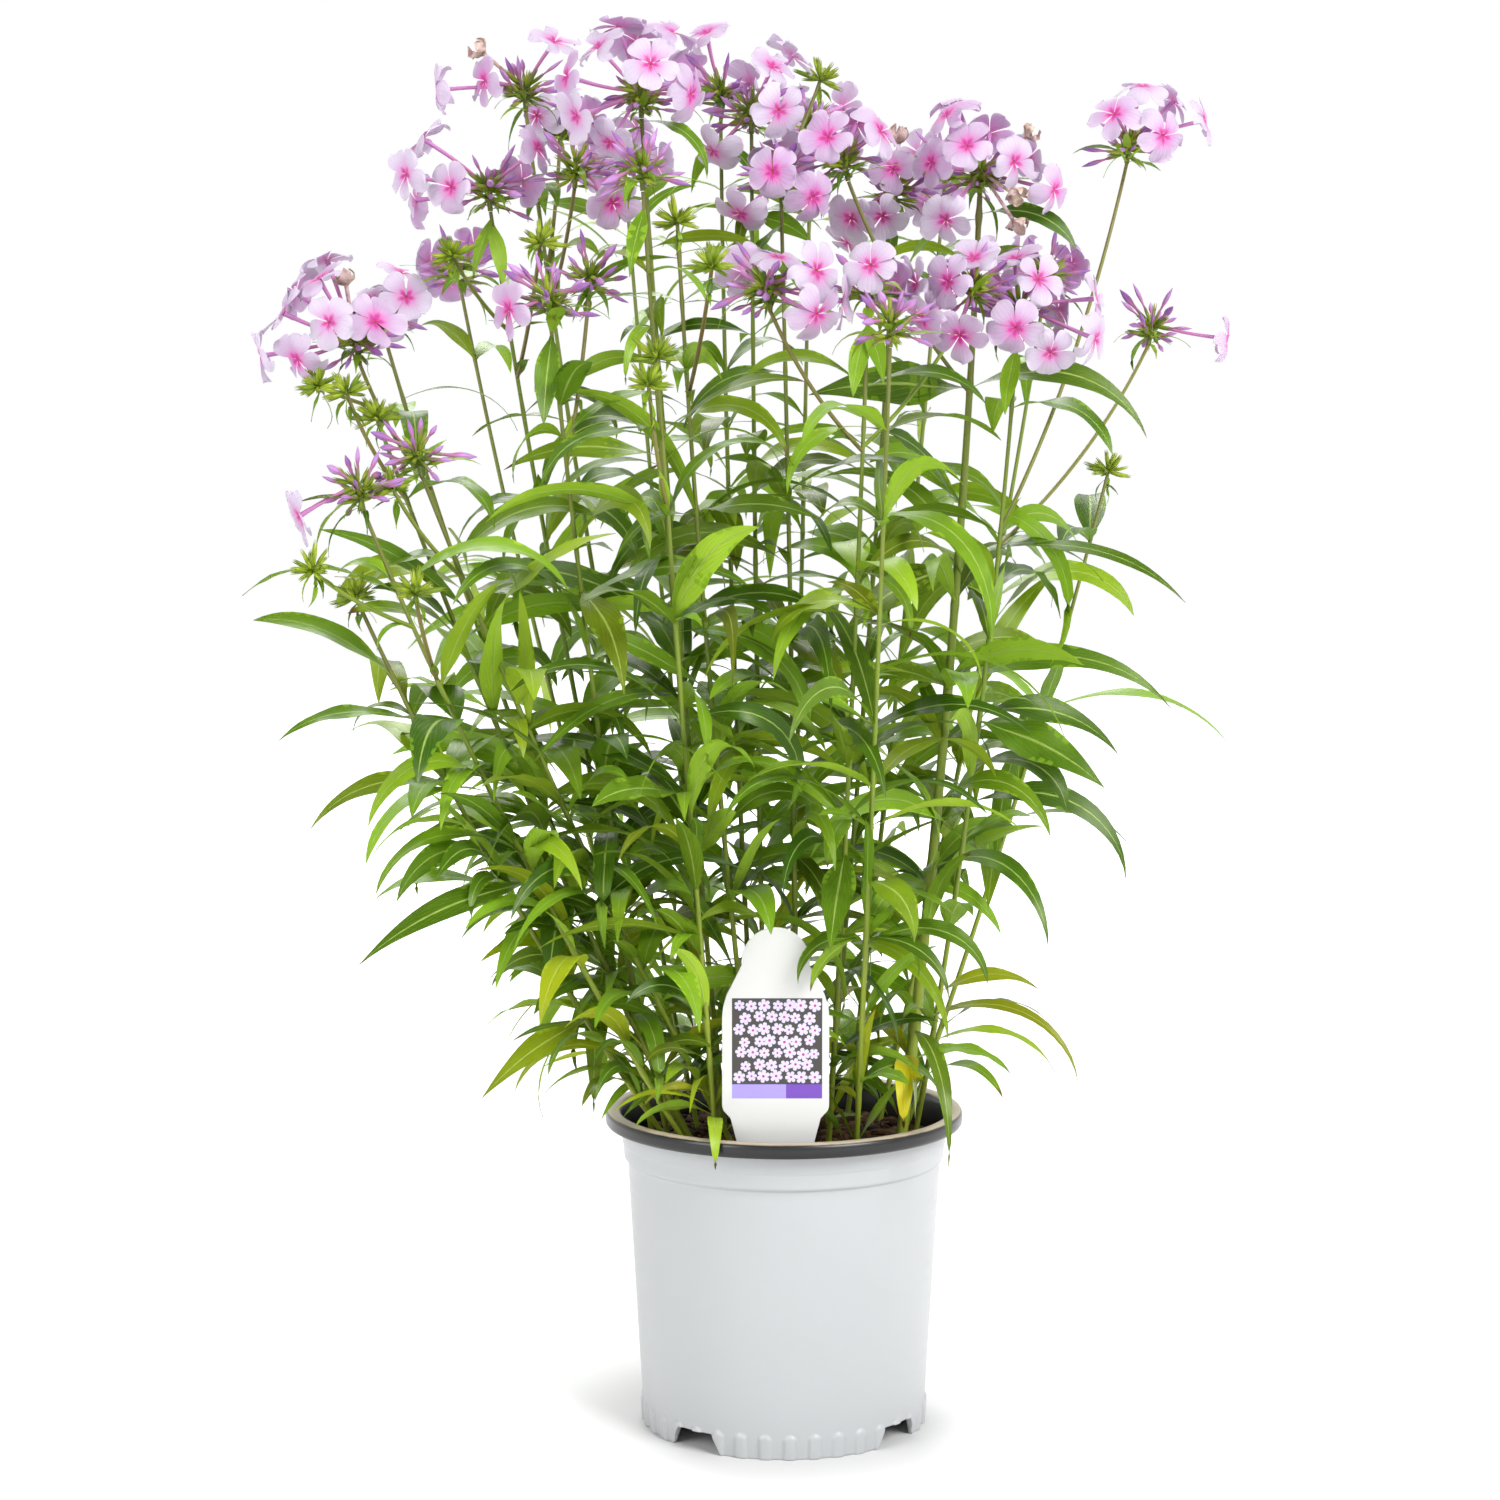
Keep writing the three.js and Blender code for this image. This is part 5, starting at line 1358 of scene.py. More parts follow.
def plastic_material(name, tone, gloss, wear, coat=0.0, dust_and_sheen=0.0):
    """Moulded plastic with faint clouding, handling marks, a fine orange-peel surface and, where asked, beige
    dust with a painted sheen on its upward faces.
    """
    recipe = Recipe(name)
    cloud = recipe.grain(16.0, 4.0)
    peel = recipe.grain(900.0, 2.0)
    scuff = recipe.grain(60.0, 6.0, 0.7, stretch=(1.0, 1.0, 5.0))
    base = recipe.mix(recipe.times(cloud, 0.7), tone, darkened(tone, 0.9))
    base = recipe.mix(recipe.times(recipe.step(scuff, 0.66, 0.8), wear), base, colour("8E8A80"))
    rough = recipe.plus(recipe.times(scuff, 0.22), gloss)
    if dust_and_sheen:
        # Upward faces turn beige and rougher: partly dust, partly a painted sheen, like the light line along
        # the top of the rim.
        normal = recipe.node("ShaderNodeNewGeometry").outputs["Normal"]
        up = recipe.node("ShaderNodeSeparateXYZ", normal).outputs[2]
        top_dust_and_sheen = recipe.step(recipe.plus(up, recipe.times(scuff, 0.4)), 0.8, 1.15)
        base = recipe.mix(recipe.times(top_dust_and_sheen, dust_and_sheen), base, colour("B8A894"))
        rough = recipe.plus(rough, recipe.times(top_dust_and_sheen, 0.2))
    recipe.bump(recipe.plus(recipe.times(peel, 0.5), recipe.times(scuff, 0.4)), 0.12, 0.0003)
    recipe.shader.inputs["Coat Weight"].default_value = coat
    recipe.shader.inputs["Coat Roughness"].default_value = 0.12
    recipe.shader.inputs["Coat IOR"].default_value = 1.45
    return recipe.finish(base, rough, 0.4)


def soil_material(name, settings, bark):
    """Potting mix, or the bark chips and fibres in it."""
    recipe = Recipe(name)
    clod = recipe.grain(240.0, 6.0, 0.7)
    crumb = recipe.grain(1400.0, 4.0, 0.7)
    shade = recipe.growth()[0]
    if bark:
        base = recipe.mix(shade, settings.bark_dark, settings.bark_light)
        base = recipe.mix(recipe.times(clod, 0.5), base, settings.soil)
    else:
        base = recipe.mix(recipe.step(clod, 0.35, 0.72), settings.soil, settings.bark_dark)
        base = recipe.mix(recipe.step(crumb, 0.66, 0.74), base, settings.bark_light)
    recipe.bump(recipe.plus(clod, recipe.times(crumb, 0.6)), 0.9, 0.002)
    return recipe.finish(base, recipe.plus(recipe.times(crumb, 0.2), 0.75), 0.2)


def floor_material(settings):
    """A pale floor with a painted shadow: less pale close to the pot, where its soft shadow falls."""
    recipe = Recipe("floor_pale")
    place = recipe.node("ShaderNodeTexCoord").outputs["Object"]
    away = recipe.node("ShaderNodeVectorMath", place, operation="LENGTH").outputs["Value"]
    # The darker colour close to the pot is a painted contact shadow.
    far = recipe.step(away, 0.064, 0.135)
    base = recipe.mix(far, settings.floor_painted_shadow, settings.floor)
    soft = recipe.times(recipe.grain(3.0, 2.0), 0.02)
    recipe.shader.inputs["Emission Color"].default_value = (1, 1, 1, 1)
    shine = recipe.times(recipe.step(away, 0.6, 2.6), settings.floor_glow)
    recipe.join(shine, recipe.shader.inputs["Emission Strength"])
    return recipe.finish(recipe.mix(soft, base, settings.floor_painted_shadow), 0.9, 0.1)


def print_material(name, tone):
    """Printed ink on the label: a flat tone with faint dots and a light gloss."""
    recipe = Recipe(name)
    dots = recipe.grain(2600.0, 2.0)
    cloud = recipe.grain(90.0, 3.0)
    base = recipe.mix(recipe.times(recipe.plus(dots, cloud), 0.5), tone, darkened(tone, 0.82))
    recipe.bump(dots, 0.06, 0.0001)
    return recipe.finish(base, recipe.plus(recipe.times(cloud, 0.15), 0.32), 0.5)


# ---------------------------------------------------------------- pot, soil and label


def pot_wall(height):
    share = height / POT_SIZES["collar_height"]
    return POT_SIZES["base_radius"] + (POT_SIZES["collar_radius"] - POT_SIZES["base_radius"]) * share


def notch_edge(angles):
    """How high the wall's lower edge stands at each angle: 0 on the feet, raised in the notches."""
    edge = np.zeros(len(angles))
    for i in range(NOTCH["count"]):
        middle = math.radians(NOTCH["first"] + 360 * i / NOTCH["count"])
        arc = abs((angles - middle + math.pi) % (2 * math.pi) - math.pi) * POT_SIZES["base_radius"]
        share = np.clip((NOTCH["half_foot"] - arc) / (NOTCH["half_foot"] - NOTCH["half_top"]), 0, 1)
        edge = np.maximum(edge, NOTCH["height"] * share**1.2 * (1.6 - 0.6 * share))
    return edge


def make_pot(settings, materials):
    """The pot: fluted feet between notches, tapered wall, collar, rolled rim and dark inside."""
    sizes = POT_SIZES
    columns = settings.sides
    angles = np.arange(columns) * 2 * math.pi / columns
    spin = np.stack((np.cos(angles), np.sin(angles)), -1)
    edge = notch_edge(angles)
    ribs = settings.rib_count
    start = math.radians(FIRST_RIB)
    turn = ((angles - start) * ribs / (2 * math.pi)) % 1 - 0.5
    off = abs(turn) * 2 * math.pi / ribs * sizes["base_radius"]
    half, tall, depth = (v * 1000 for v in (settings.rib_width / 2, settings.rib_height, settings.rib_depth))

    def ring(radius, height):
        radius, height = np.broadcast_to(radius, columns), np.broadcast_to(height, columns)
        return np.column_stack((spin * radius[:, None], height))

    def outer(height):
        reach = np.hypot(off, np.maximum(height - (tall - half), 0))
        return pot_wall(height) + depth * np.sqrt(np.clip(1 - (reach / half) ** 3, 0, 1))

    wall, floor = sizes["wall"], sizes["floor"]
    under = [ring(r, floor) for r in (0.02, 20, 40, 55)]
    under += [ring(58.0, floor - 0.6), ring(59.5, floor - 0.6), ring(pot_wall(floor) - wall, floor)]
    inside_foot = [ring(pot_wall(edge) - wall, edge + (floor - edge) * s) for s in (0.8, 0.4, 0.06)]
    lip = [ring(pot_wall(edge) - wall + 0.25, edge), ring(outer(edge) - 0.3, edge)]
    low = [ring(outer(edge + (16 - edge) * s), edge + (16 - edge) * s) for s in np.linspace(0.015, 1, 26)]
    side = [ring(pot_wall(z), z) for z in (30, 50, 75, 100, 118, 122.2)]
    collar = [ring(r, z) for r, z in COLLAR]
    well = ((pot_wall(60) - wall, 60), (pot_wall(13) - wall, 13.0), (pot_wall(12) - wall - 3, 11.5))
    dark = [ring(r, z) for r, z in (*RIM, *UNDER_RIM, *well, (30, 11.5), (0.02, 11.5))]
    growth = Growth(["pot_white", "pot_black"])
    white = under + inside_foot + lip + low + side + collar
    growth.grid(white, "pot_white", closed=True, flip=True)
    growth.grid([collar[-1]] + dark, "pot_black", closed=True, flip=True)
    pot = growth.make("nursery_pot", materials)
    settle(pot, "pot", "pot")
    return pot


def make_soil(settings, materials):
    """Potting mix: a rough crowned surface with sunken bark chips, crumbs and fibres."""
    rng = draws(MESH_SEEDS["soil"])
    growth = Growth(["soil", "bark"])
    columns, rows = 168, 40
    angles = np.arange(columns) * 2 * math.pi / columns
    surface = []
    for i in range(rows + 1):
        radius = 0.3 + (SOIL_RADIUS - 0.3) * i / rows
        ring = []
        for angle in angles:
            x, y = radius * math.cos(angle), radius * math.sin(angle)
            ring.append((x, y, soil_height(x, y, settings)))
        surface.append(ring)
    profile = ((SOIL_RADIUS + 0.1, SOIL_EDGE - 3), (69.4, 120), (pot_wall(12) - 2.7, 11.9), (0.3, 11.9))
    wall = [[(r * math.cos(a), r * math.sin(a), z) for a in angles] for r, z in profile]
    growth.grid(surface + wall, "soil", closed=True)
    for _ in range(settings.chips):
        radius, angle = CHIP_FIELD * math.sqrt(rng.random()), rng.random() * 2 * math.pi
        x, y = radius * math.cos(angle), radius * math.sin(angle)
        size = 0.9 + 3.4 * rng.random() ** 2.5
        size = min(size, max(0.5, (SOIL_RADIUS + 0.2 - radius) / 2.4))
        add_chip(growth, (x, y, soil_height(x, y, settings) + 0.1 * size), size, rng)
    for _ in range(settings.fibres):
        radius, angle = FIBRE_FIELD * math.sqrt(rng.random()), rng.random() * 2 * math.pi
        x, y = radius * math.cos(angle), radius * math.sin(angle)
        way = rng.random() * 2 * math.pi
        length = rng.uniform(5, 13)
        t = np.linspace(-0.5, 0.5, 6)
        xs = x + length * t * math.cos(way) + 3 * t**2 * math.sin(way)
        ys = y + length * t * math.sin(way) - 3 * t**2 * math.cos(way)
        zs = [soil_height(a, b, settings) + 0.5 + 0.9 * rng.random() for a, b in zip(xs, ys)]
        growth.tube(np.column_stack((xs, ys, zs)), (0.05, 0.2, 0.28, 0.28, 0.2, 0.05), 4, "bark",
                    (rng.uniform(0.5, 1), 0.5, 0, 1))
    soil = growth.make("potting_mix", materials)
    settle(soil, "soil", "soil")
    return soil


def soil_height(x, y, settings):
    radius = math.hypot(x, y)
    crown = SOIL_EDGE + SOIL_CROWN * max(0.0, 1 - radius / SOIL_RADIUS) - 1.6 * max(0.0, (radius - 60) / 12)
    rough = noise.fractal(Vector((x, y, 3.0)) * 0.11, 1.0, 2.0, 5)
    clods = noise.fractal(Vector((x, y, 9.0)) * 0.42, 1.0, 2.0, 3)
    return crown + settings.roughness * 1000 * (0.9 * rough + 0.45 * clods)


def add_chip(growth, centre, size, rng):
    """A splinter of bark: a flattened lump with a random lean."""
    rise = np.array((-0.98, -0.6, 0.1, 0.7, 0.98))
    wide = np.sqrt(1 - rise**2) * rng.uniform(0.75, 1.25, 5)
    stretch = np.array((rng.uniform(0.7, 2.3), rng.uniform(0.5, 1.1), rng.uniform(0.25, 0.7))) * size
    angles = np.arange(6) * math.pi / 3
    lump = np.stack([np.column_stack((np.cos(angles) * w * rng.uniform(0.8, 1.2, 6),
                                      np.sin(angles) * w * rng.uniform(0.8, 1.2, 6),
                                      np.full(6, z))) for z, w in zip(rise, wide)]) * stretch
    yaw, lean = rng.random() * 6.28, rng.uniform(-0.5, 0.5)
    spin = np.array(((math.cos(yaw), -math.sin(yaw), 0), (math.sin(yaw), math.cos(yaw), 0), (0, 0, 1)))
    tilt = np.array(((1, 0, 0), (0, math.cos(lean), -math.sin(lean)), (0, math.sin(lean), math.cos(lean))))
    growth.grid(lump @ (spin @ tilt).T + np.array(centre), "bark", (rng.random() ** 2, 0.5, 0, 1),
                closed=True, flip=True)


LABEL_FINISHES = (
    "label_white", "print_ground", "print_leaf", "print_petal", "print_eye", "band_light", "band_dark",
)
# A rosette's petal, as shares of its size outwards and sideways.
ROSETTE_PETAL = (
    (0.15, 0.1), (0.5, 0.28), (0.8, 0.32), (1.0, 0.16),
    (1.0, -0.16), (0.8, -0.32), (0.5, -0.28), (0.15, -0.1),
)
# The same for a printed leaf, in millimetres.
PRINTED_LEAF = ((0, 0), (1.6, -0.6), (3.1, 0), (1.6, 0.6))


def label_outline(steps=20):
    """The label's outline from its tip, with its round top and eased shoulders, in its own plane."""
    half, top = LABEL["half_width"], LABEL["top"]
    right = [(LABEL["tip_half"] - 3, LABEL["tip"]), (LABEL["tip_half"], LABEL["tip"] + 4),
             (LABEL["rim_half"], LABEL["rim_height"]),
             (LABEL["neck_half"], LABEL["waist"] - 2), (half - 0.6, LABEL["waist"] + 1.4),
             (half, LABEL["waist"] + 3.4), (half, LABEL["shoulder"] - 7), (half - 0.4, LABEL["shoulder"] - 3),
             (half - 2, LABEL["shoulder"] + 2.6), (half - 4.8, LABEL["shoulder"] + 8)]
    radius = LABEL["top_radius"]
    angles = np.radians(np.linspace(-6, 90, steps))
    right += [(radius * math.cos(a), top - radius + radius * math.sin(a)) for a in angles]
    return right + [(-x, z) for x, z in reversed(right[:-1])]


def make_label(settings, materials):
    """The label: a thin white tag with a generic panel of rosettes and two bands."""
    mesh = bpy.data.meshes.new("plant_label")
    shape = bmesh.new()
    outline = label_outline()
    front_y = LABEL["back"] - LABEL["thickness"]
    for finish in LABEL_FINISHES:
        mesh.materials.append(materials[finish])
    ease = 0.22
    centre = np.array((0.0, 185.0))
    rings = []
    for y, inset in ((LABEL["back"], ease), (LABEL["back"] - ease, 0), (front_y + ease, 0), (front_y, ease)):
        ring = []
        for x, z in outline:
            pull = unit(centre - np.array((x, np.clip(z, 150, 220)))) * inset
            ring.append(shape.verts.new(((LABEL["centre"] + x + pull[0]) * MM, y * MM, (z + pull[1]) * MM)))
        rings.append(ring)
    count = len(outline)
    for near, far in zip(rings, rings[1:]):
        for i in range(count):
            shape.faces.new((near[i], near[(i + 1) % count], far[(i + 1) % count], far[i]))
    shape.faces.new(list(reversed(rings[0])))
    shape.faces.new(rings[-1])

    def flat(points, layer, finish):
        """A printed shape on the label's face. Higher layers cover lower ones."""
        y = (front_y - 0.03 - 0.012 * layer) * MM
        face = shape.faces.new([shape.verts.new((x * MM, y, z * MM)) for x, z in points])
        face.material_index = LABEL_FINISHES.index(finish)

    def spray(middle, form, size, angle, layer, finish):
        """A printed form, turned by an angle round the point that it grows from."""
        out = np.array((math.cos(angle), math.sin(angle)))
        side = np.array((-out[1], out[0]))
        points = [tuple(np.array(middle) + size * (a * out + b * side)) for a, b in reversed(form)]
        flat(points, layer, finish)

    def rosette(x, z, size, turn, layer):
        for i in range(6):
            spray((x, z), ROSETTE_PETAL, size, turn + i * math.pi / 3, layer + i % 2, "print_petal")
        eye = 0.22 * size
        round_eye = [(x + eye * math.cos(a), z + eye * math.sin(a)) for a in np.linspace(0, 5.5, 8)]
        flat(round_eye, layer + 2, "print_eye")

    left, right = settings.panel_left * 1000, settings.panel_right * 1000
    low, high = settings.panel_low * 1000, settings.panel_high * 1000
    flat([(left, low), (right, low), (right, high), (left, high)], 0, "print_ground")
    band = settings.band_height * 1000
    split = left + 0.6 * (right - left)
    flat([(left, low - band), (split, low - band), (split, low), (left, low)], 0, "band_light")
    flat([(split, low - band), (right, low - band), (right, low), (split, low)], 0, "band_dark")
    rng = draws(MESH_SEEDS["label"])
    step_x, step_z = (right - left - 6.6) / 6, (high - low - 6.4) / 6
    for row in range(7):
        for column in range(7 - row % 2):
            x = left + 3.3 + step_x * (column + 0.5 * (row % 2)) + rng.uniform(-0.7, 0.7)
            z = low + 3.2 + step_z * row + rng.uniform(-0.6, 0.6)
            x, z = np.clip(x, left + 3.2, right - 3.2), np.clip(z, low + 3.2, high - 3.2)
            spray((x, z), PRINTED_LEAF, 1, row + column, 1, "print_leaf")
            rosette(x, z, rng.uniform(2.3, 2.95), rng.random(), layer=2 + 3 * ((row * 3 + column) % 5))
    bmesh.ops.recalc_face_normals(shape, faces=[f for f in shape.faces if f.material_index == 0])
    for face in shape.faces:
        if face.material_index and face.normal.y > 0:
            face.normal_flip()
    shape.to_mesh(mesh)
    shape.free()
    label = put("plant_label", mesh)
    settle(label, "label", "label")
    return label


# ---------------------------------------------------------------- what a user can change


def shade(name, code, description):
    return bpy.props.FloatVectorProperty(
        name=name, description=description, subtype="COLOR", size=4, min=0, max=1, default=colour(code))


def amount(name, value, description, **more):
    return bpy.props.FloatProperty(name=name, description=description, default=value, **more)


def length(name, metres, description):
    return amount(name, metres, description, unit="LENGTH", precision=4)


def number(name, count, description, least=0, most=4000):
    return bpy.props.IntProperty(name=name, description=description, default=count, min=least, max=most)


class PhloxPotSettings(bpy.types.PropertyGroup):
    wall_colour: shade("Wall", "A8AAAC", "Colour of the pot's outer wall")
    rim_colour: shade("Rim and Inside", "0C0C0D", "Colour of the rolled rim and of the pot's inside")
    rib_count: number("Ribs", 37, "Ribs round the whole foot, of which those between the notches show", 8, 90)
    rib_width: length("Rib Width", 0.0058, "Width of a rib on the foot")
    rib_height: length("Rib Height", 0.0112, "Height of a rib on the foot")
    rib_depth: length("Rib Depth", 0.0011, "How far a rib stands out")
    sides: number("Sides", 720, "Columns of faces round the pot", 48, 1440)


class PhloxSoilSettings(bpy.types.PropertyGroup):
    soil: shade("Potting Mix", "17100A", "Dark colour of the potting mix")
    bark_dark: shade("Dark Bark", "3A2414", "Colour of damp bark")
    bark_light: shade("Light Bark", "8A6340", "Colour of dry bark and fibres")
    roughness: length("Roughness", 0.0019, "Height of the clods")
    chips: number("Chips", 1300, "Bark chips and crumbs on the surface")
    fibres: number("Fibres", 170, "Loose fibres on the surface")


class PhloxLabelSettings(bpy.types.PropertyGroup):
    plastic: shade("Plastic", "C4C4C2", "Colour of the tag itself")
    ground: shade("Panel Ground", "3A3634", "Ground of the printed panel")
    blossom: shade("Blossoms", "C6BEDC", "Colour of the printed rosettes")
    eye: shade("Eyes", "A8327E", "Colour of the rosettes' middles")
    leaf: shade("Printed Leaves", "55704A", "Colour of the printed leaves")
    band_light: shade("Light Band", "9B8CD9", "Colour of the longer band")
    band_dark: shade("Dark Band", "6A3FA8", "Colour of the shorter band")
    panel_left: length("Panel Left", -0.0236, "Left edge of the printed panel")
    panel_right: length("Panel Right", 0.0161, "Right edge of the printed panel")
    panel_low: length("Panel Bottom", 0.1687, "Lower edge of the printed panel")
    panel_high: length("Panel Top", 0.2070, "Upper edge of the printed panel")
    band_height: length("Band Height", 0.0063, "Height of the two bands")


class PhloxStemSettings(bpy.types.PropertyGroup):
    stem_low: shade("Stem Low", "7C8A24", "Stem colour near the soil")
    stem_middle: shade("Stem Middle", "6A801E", "Stem colour halfway up")
    stem_high: shade("Stem High", "5E6428", "Stem colour under the flowers")
    leaf_dark: shade("Leaf Dark", "2E540A", "Darkest green of the upper leaf side")
    leaf_light: shade("Leaf Light", "90BA2A", "Lightest green of the upper leaf side")
    under_dark: shade("Underside Dark", "6A9222", "Darkest green of the lower leaf side")
    under_light: shade("Underside Light", "AED240", "Lightest green of the lower leaf side")
    leaf_glow: shade("Leaf Glow", "C6E01C", "Colour of the light that comes through a leaf")
    vein: shade("Veins", "B0C868", "Colour of the midrib and veins")
    yellow: shade("Old Leaves", "F0DC20", "Colour that old leaves turn to")
    calyx_dark: shade("Calyx Dark", "64800E", "Darkest green of the calyces")
    calyx_light: shade("Calyx Light", "A6B830", "Lightest green of the calyces")
    calyx_blush: shade("Calyx Blush", "8C5C74", "Flush on the calyx teeth under open flowers")
    joint_swell: length("Joint Swell", 0.0003, "How much the stem swells at a pair of leaves")
    slimness: amount("Slimness", 0.68, "Thickness of the stems as a share of the solid stems' radius")
    pair_spacing: length("Pair Spacing", 0.042, "Mean rise from one added pair of leaves to the next")
    axil_leaves: amount("Axil Leaves", 0.3, "Share of leaves that have a small leaf in their axil")
    cluster_spikes: number("Cluster Calyces", 18, "Added calyces in each green cluster", 0, 40)


class PhloxHeadSettings(bpy.types.PropertyGroup):
    petal_pale: shade("Petal Pale", "D8D0DE", "Palest petals")
    petal_deep: shade("Petal Deep", "C694C8", "Deepest lilac of the petals")
    eye: shade("Eye", "EE6CC4", "Magenta star round the throat")
    eye_deep: shade("Eye Deep", "CC1C94", "Darkest part of the star")
    throat: shade("Throat", "A0521C", "Colour inside the throat")
    tube: shade("Tube", "B878A2", "Colour of the flower tubes")
    bud_pale: shade("Bud Pale", "C898D0", "Palest bud tips")
    bud_deep: shade("Bud Deep", "9460A6", "Deepest bud tips")
    withered: shade("Withered", "DCCBBB", "Colour of spent flowers")
    extra_buds: number("Extra Buds", 32, "Added buds and calyces in each head", 0, 60)


class PhloxStageSettings(bpy.types.PropertyGroup):
    floor: shade("Floor", "F4F4F4", "Colour of the floor")
    # The floor's colour close to the pot is a painted shadow.
    floor_painted_shadow: shade("Floor Near", "CACACA", "Colour of the floor close to the pot")
    floor_size: length("Floor Size", 14.0, "Side of the square floor")
    floor_glow: amount("Floor Glow", 0.8, "How strongly the floor shines far from the pot")
    camera_distance: length("Camera Distance", 1.3, "How far the camera stands in front of the pot's axis")
    camera_height: length("Camera Height", 0.41594, "Height of the camera")
    camera_side: length("Camera Side", -0.01566, "How far the camera stands to the right of the pot's axis")
    camera_tilt: amount("Camera Tilt", math.radians(4.6), "How far the camera looks down", subtype="ANGLE")
    camera_lens: amount("Focal Length", 68.2937, "Focal length of the camera", subtype="DISTANCE_CAMERA")
    world: amount("Surround", 1.0, "Strength of the white surround")
    overhead: amount("Overhead", 0.35, "Strength of the surround straight above")
    key: amount("Key Light", 104.0, "Power of the large light", unit="POWER")


# ---------------------------------------------------------------- operators


class PHLOX_OT_pot(bpy.types.Operator):
    """Make the nursery pot with its fluted feet, collar, rolled rim and dark inside"""

    bl_idname = "phlox.pot"
    bl_label = "Nursery Pot"

    def execute(self, context):
        settings = context.scene.phlox_pot
        make_pot(settings, {
            "pot_white": plastic_material("pot_white", settings.wall_colour, 0.26, 0.08, coat=0.1),
            # The black plastic's upward faces, such as the rim's top, get dust and a painted sheen.
            "pot_black": plastic_material("pot_black", settings.rim_colour, 0.25, 0.05, coat=0.3, dust_and_sheen=0.9),
        })
        return {"FINISHED"}


class PHLOX_OT_soil(bpy.types.Operator):
    """Make the potting mix with bark chips, crumbs and fibres"""

    bl_idname = "phlox.soil"
    bl_label = "Potting Mix"

    def execute(self, context):
        settings = context.scene.phlox_soil
        make_soil(settings, {
            "soil": soil_material("potting_mix", settings, bark=False),
            "bark": soil_material("bark", settings, bark=True),
        })
        return {"FINISHED"}


class PHLOX_OT_label(bpy.types.Operator):
    """Make the plant label with its generic printed panel"""

    bl_idname = "phlox.label"
    bl_label = "Plant Label"

    def execute(self, context):
        settings = context.scene.phlox_label
        inks = (settings.ground, settings.leaf, settings.blossom, settings.eye,
                settings.band_light, settings.band_dark)
        materials = {"label_white": plastic_material("label_white", settings.plastic, 0.3, 0.03)}
        for name, ink in zip(LABEL_FINISHES[1:], inks):
            materials[name] = print_material(name, ink)
        make_label(settings, materials)
        return {"FINISHED"}


class PHLOX_OT_stems(bpy.types.Operator):
    """Make the leafy stems with their side stalks and green clusters"""

    bl_idname = "phlox.stems"
    bl_label = "Leafy Stems"

    def execute(self, context):
        settings = context.scene.phlox_stems
        PLANT.fill_in(settings.pair_spacing * 1000, settings.axil_leaves)
        materials = plant_materials(context)
        for row in STEMS:
            make_stem(row, settings, materials)
        return {"FINISHED"}


class PHLOX_OT_heads(bpy.types.Operator):
    """Make the flower heads with flowers, buds, calyces and withered flowers"""

    bl_idname = "phlox.heads"
    bl_label = "Flower Heads"

    def execute(self, context):
        materials = plant_materials(context)
        for row in HEADS:
            make_head(row, context.scene.phlox_heads, materials)
        return {"FINISHED"}


def plant_materials(context):
    """The finishes of stems and heads, made once."""
    stems, heads = context.scene.phlox_stems, context.scene.phlox_heads
    makers = {
        "stem_skin": ("stem_skin", lambda: stem_material(stems)),
        "leaf_top": ("leaf_top", lambda: leaf_material("leaf_top", stems, upper=True)),
        "leaf_under": ("leaf_under", lambda: leaf_material("leaf_under", stems, upper=False)),
        "calyx": ("calyx_green", lambda: calyx_material(stems)),
        "petal": ("petal_lilac", lambda: petal_material(heads)),
        "flower_tube": ("flower_tube_pink", lambda: tube_material(heads)),
        "throat": ("throat_dark", lambda: throat_material(heads)),
        "bud": ("bud_violet", lambda: bud_material(heads)),
        "withered": ("withered_beige", lambda: withered_material(heads)),
    }
    return {key: bpy.data.materials.get(name) or make() for key, (name, make) in makers.items()}


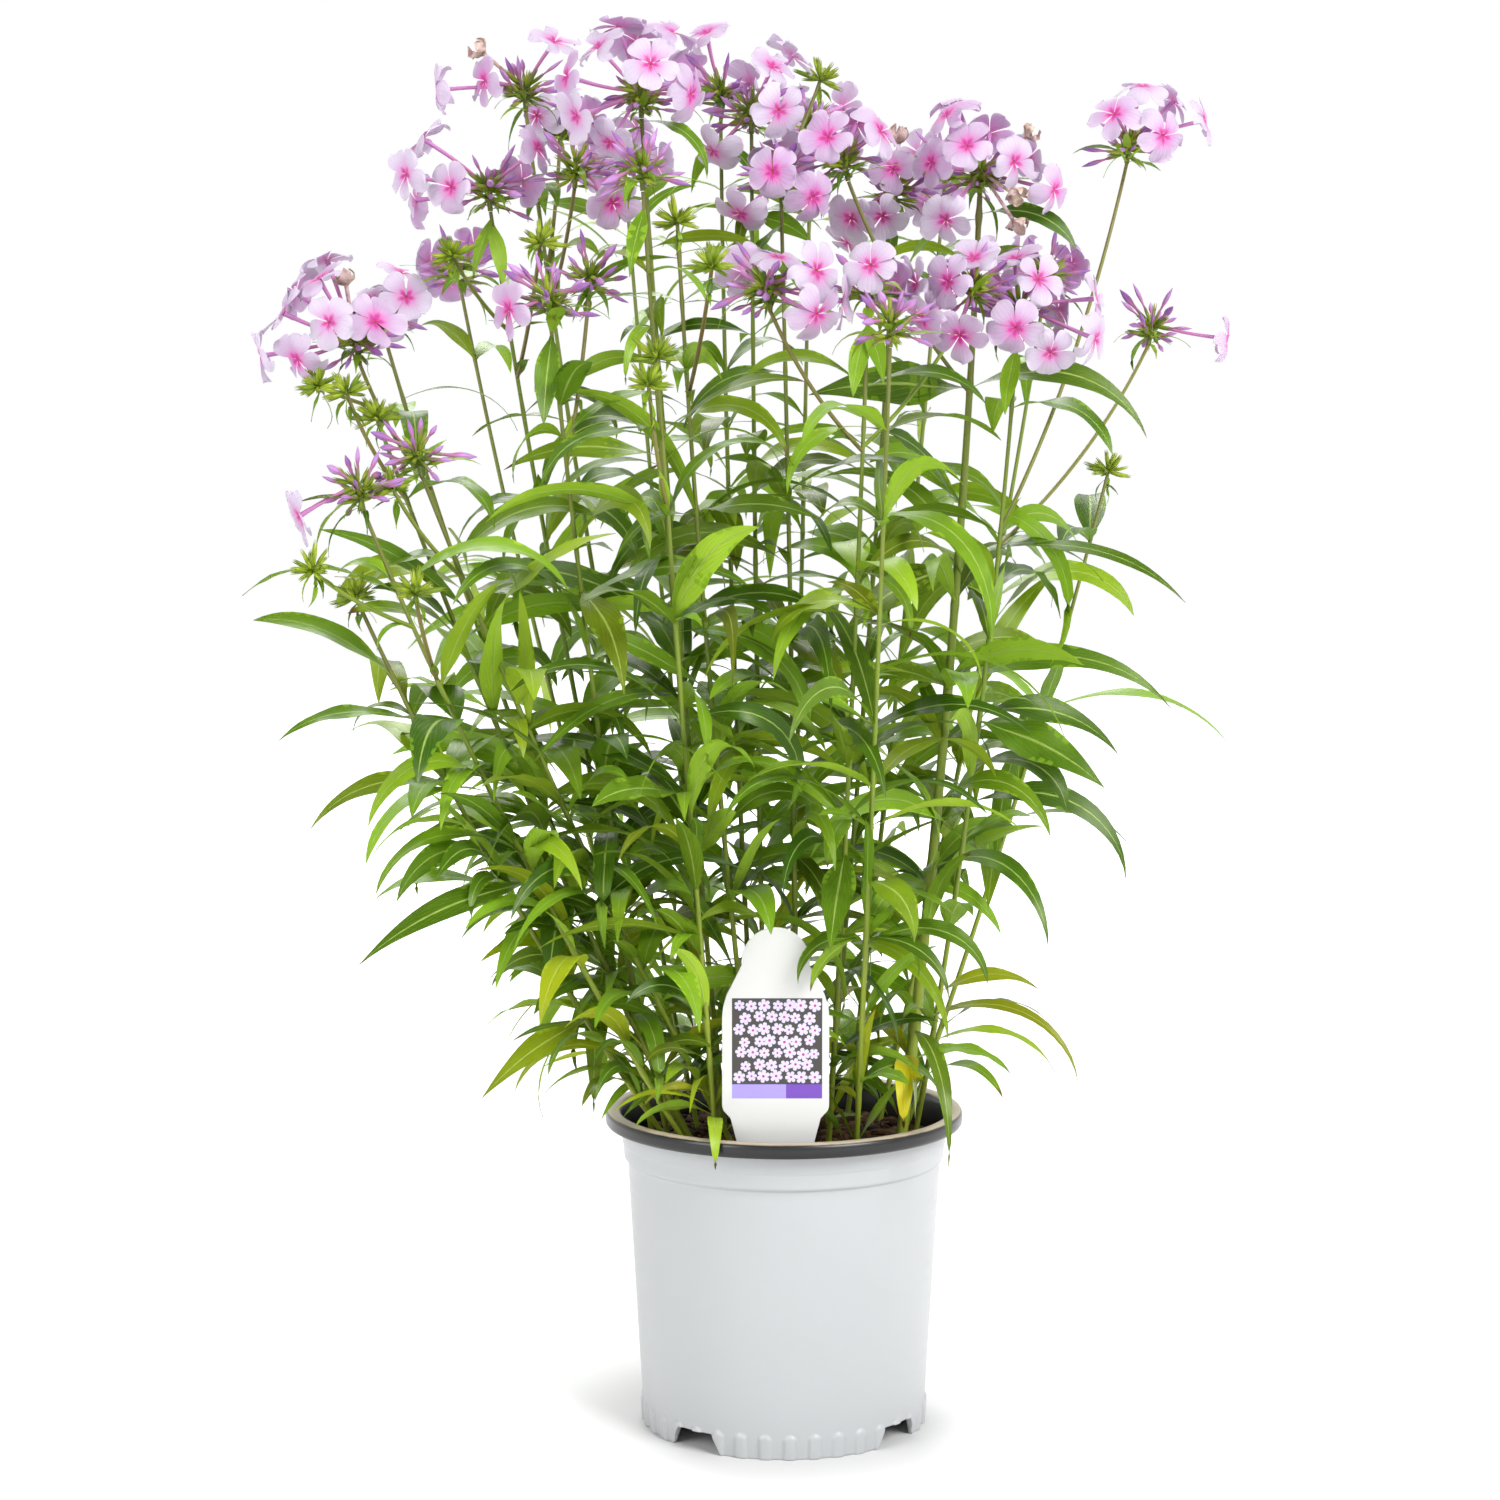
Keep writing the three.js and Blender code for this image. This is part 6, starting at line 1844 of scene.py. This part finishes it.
class PHLOX_OT_stage(bpy.types.Operator):
    """Set the pale floor, the soft lights and the camera"""

    bl_idname = "phlox.stage"
    bl_label = "Stage"

    def execute(self, context):
        settings = context.scene.phlox_stage
        scene = context.scene
        half = settings.floor_size / 2
        mesh = bpy.data.meshes.new("floor")
        corners = ((-half, -half, 0), (half, -half, 0), (half, half, 0), (-half, half, 0))
        mesh.from_pydata(corners, [], [(0, 1, 2, 3)])
        mesh.materials.append(floor_material(settings))
        put("floor", mesh)
        world = bpy.data.worlds.new("white_surround")
        world.use_nodes = True
        tree = world.node_tree
        back = tree.nodes["Background"]
        back.inputs[0].default_value = (1, 1, 1, 1)
        place = tree.nodes.new("ShaderNodeTexCoord")
        parts = tree.nodes.new("ShaderNodeSeparateXYZ")
        dim = tree.nodes.new("ShaderNodeMapRange")
        dim.interpolation_type = "SMOOTHSTEP"
        for socket, value in zip(list(dim.inputs)[1:5], (0.3, 0.75, settings.world, settings.overhead)):
            socket.default_value = value
        tree.links.new(place.outputs["Generated"], parts.inputs[0])
        tree.links.new(parts.outputs[2], dim.inputs[0])
        tree.links.new(dim.outputs[0], back.inputs[1])
        scene.world = world
        self.light("key_light", (1.7, -1.7, 2.1), settings.key, 1.5)
        self.light("fill_light", (-1.8, -1.6, 1.4), settings.key * 0.35, 1.4)
        self.light("back_light", (-0.4, 1.8, 2.2), settings.key * 0.5, 1.6)
        camera = bpy.data.cameras.new("front_camera")
        camera.lens = settings.camera_lens
        camera.sensor_width = 36
        camera.clip_start = 0.05
        holder = bpy.data.objects.new("front_camera", camera)
        holder.location = (settings.camera_side, -settings.camera_distance, settings.camera_height)
        holder.rotation_euler = (math.pi / 2 - settings.camera_tilt, 0, 0)
        scene.collection.objects.link(holder)
        scene.camera = holder
        scene.view_settings.view_transform = "Standard"
        return {"FINISHED"}

    def light(self, name, place, power, size):
        """A large square light that looks at the middle of the plant."""
        lamp = bpy.data.lights.new(name, "AREA")
        lamp.energy = power
        lamp.size = size
        holder = bpy.data.objects.new(name, lamp)
        holder.location = place
        aim = Vector((0, 0, 0.33)) - Vector(place)
        holder.rotation_euler = aim.to_track_quat("-Z", "Y").to_euler()
        bpy.context.scene.collection.objects.link(holder)


class PHLOX_PT_parts(bpy.types.Panel):
    """Lists the plant's pieces in the sidebar"""

    bl_label = "Potted Phlox"
    bl_idname = "PHLOX_PT_parts"
    bl_space_type = "VIEW_3D"
    bl_region_type = "UI"
    bl_category = "Phlox"

    def draw(self, context):
        for operator, group in zip(OPERATORS, GROUPS):
            box = self.layout.box()
            box.operator(operator.bl_idname)
            settings = getattr(context.scene, group)
            for name in settings.bl_rna.properties.keys():
                if name not in ("rna_type", "name"):
                    box.prop(settings, name)


OPERATORS = (PHLOX_OT_pot, PHLOX_OT_soil, PHLOX_OT_label, PHLOX_OT_stems, PHLOX_OT_heads, PHLOX_OT_stage)
GROUPS = {
    "phlox_pot": PhloxPotSettings,
    "phlox_soil": PhloxSoilSettings,
    "phlox_label": PhloxLabelSettings,
    "phlox_stems": PhloxStemSettings,
    "phlox_heads": PhloxHeadSettings,
    "phlox_stage": PhloxStageSettings,
}


def register():
    for group in (*GROUPS.values(), *OPERATORS, PHLOX_PT_parts):
        bpy.utils.register_class(group)
    for name, group in GROUPS.items():
        setattr(bpy.types.Scene, name, bpy.props.PointerProperty(type=group))


def unregister():
    for name in GROUPS:
        delattr(bpy.types.Scene, name)
    for group in reversed((*GROUPS.values(), *OPERATORS, PHLOX_PT_parts)):
        bpy.utils.unregister_class(group)


def main():
    register()
    bpy.ops.phlox.stage()
    bpy.ops.phlox.pot()
    bpy.ops.phlox.soil()
    bpy.ops.phlox.label()
    bpy.ops.phlox.stems()
    bpy.ops.phlox.heads()


if __name__ == "__main__":
    main()
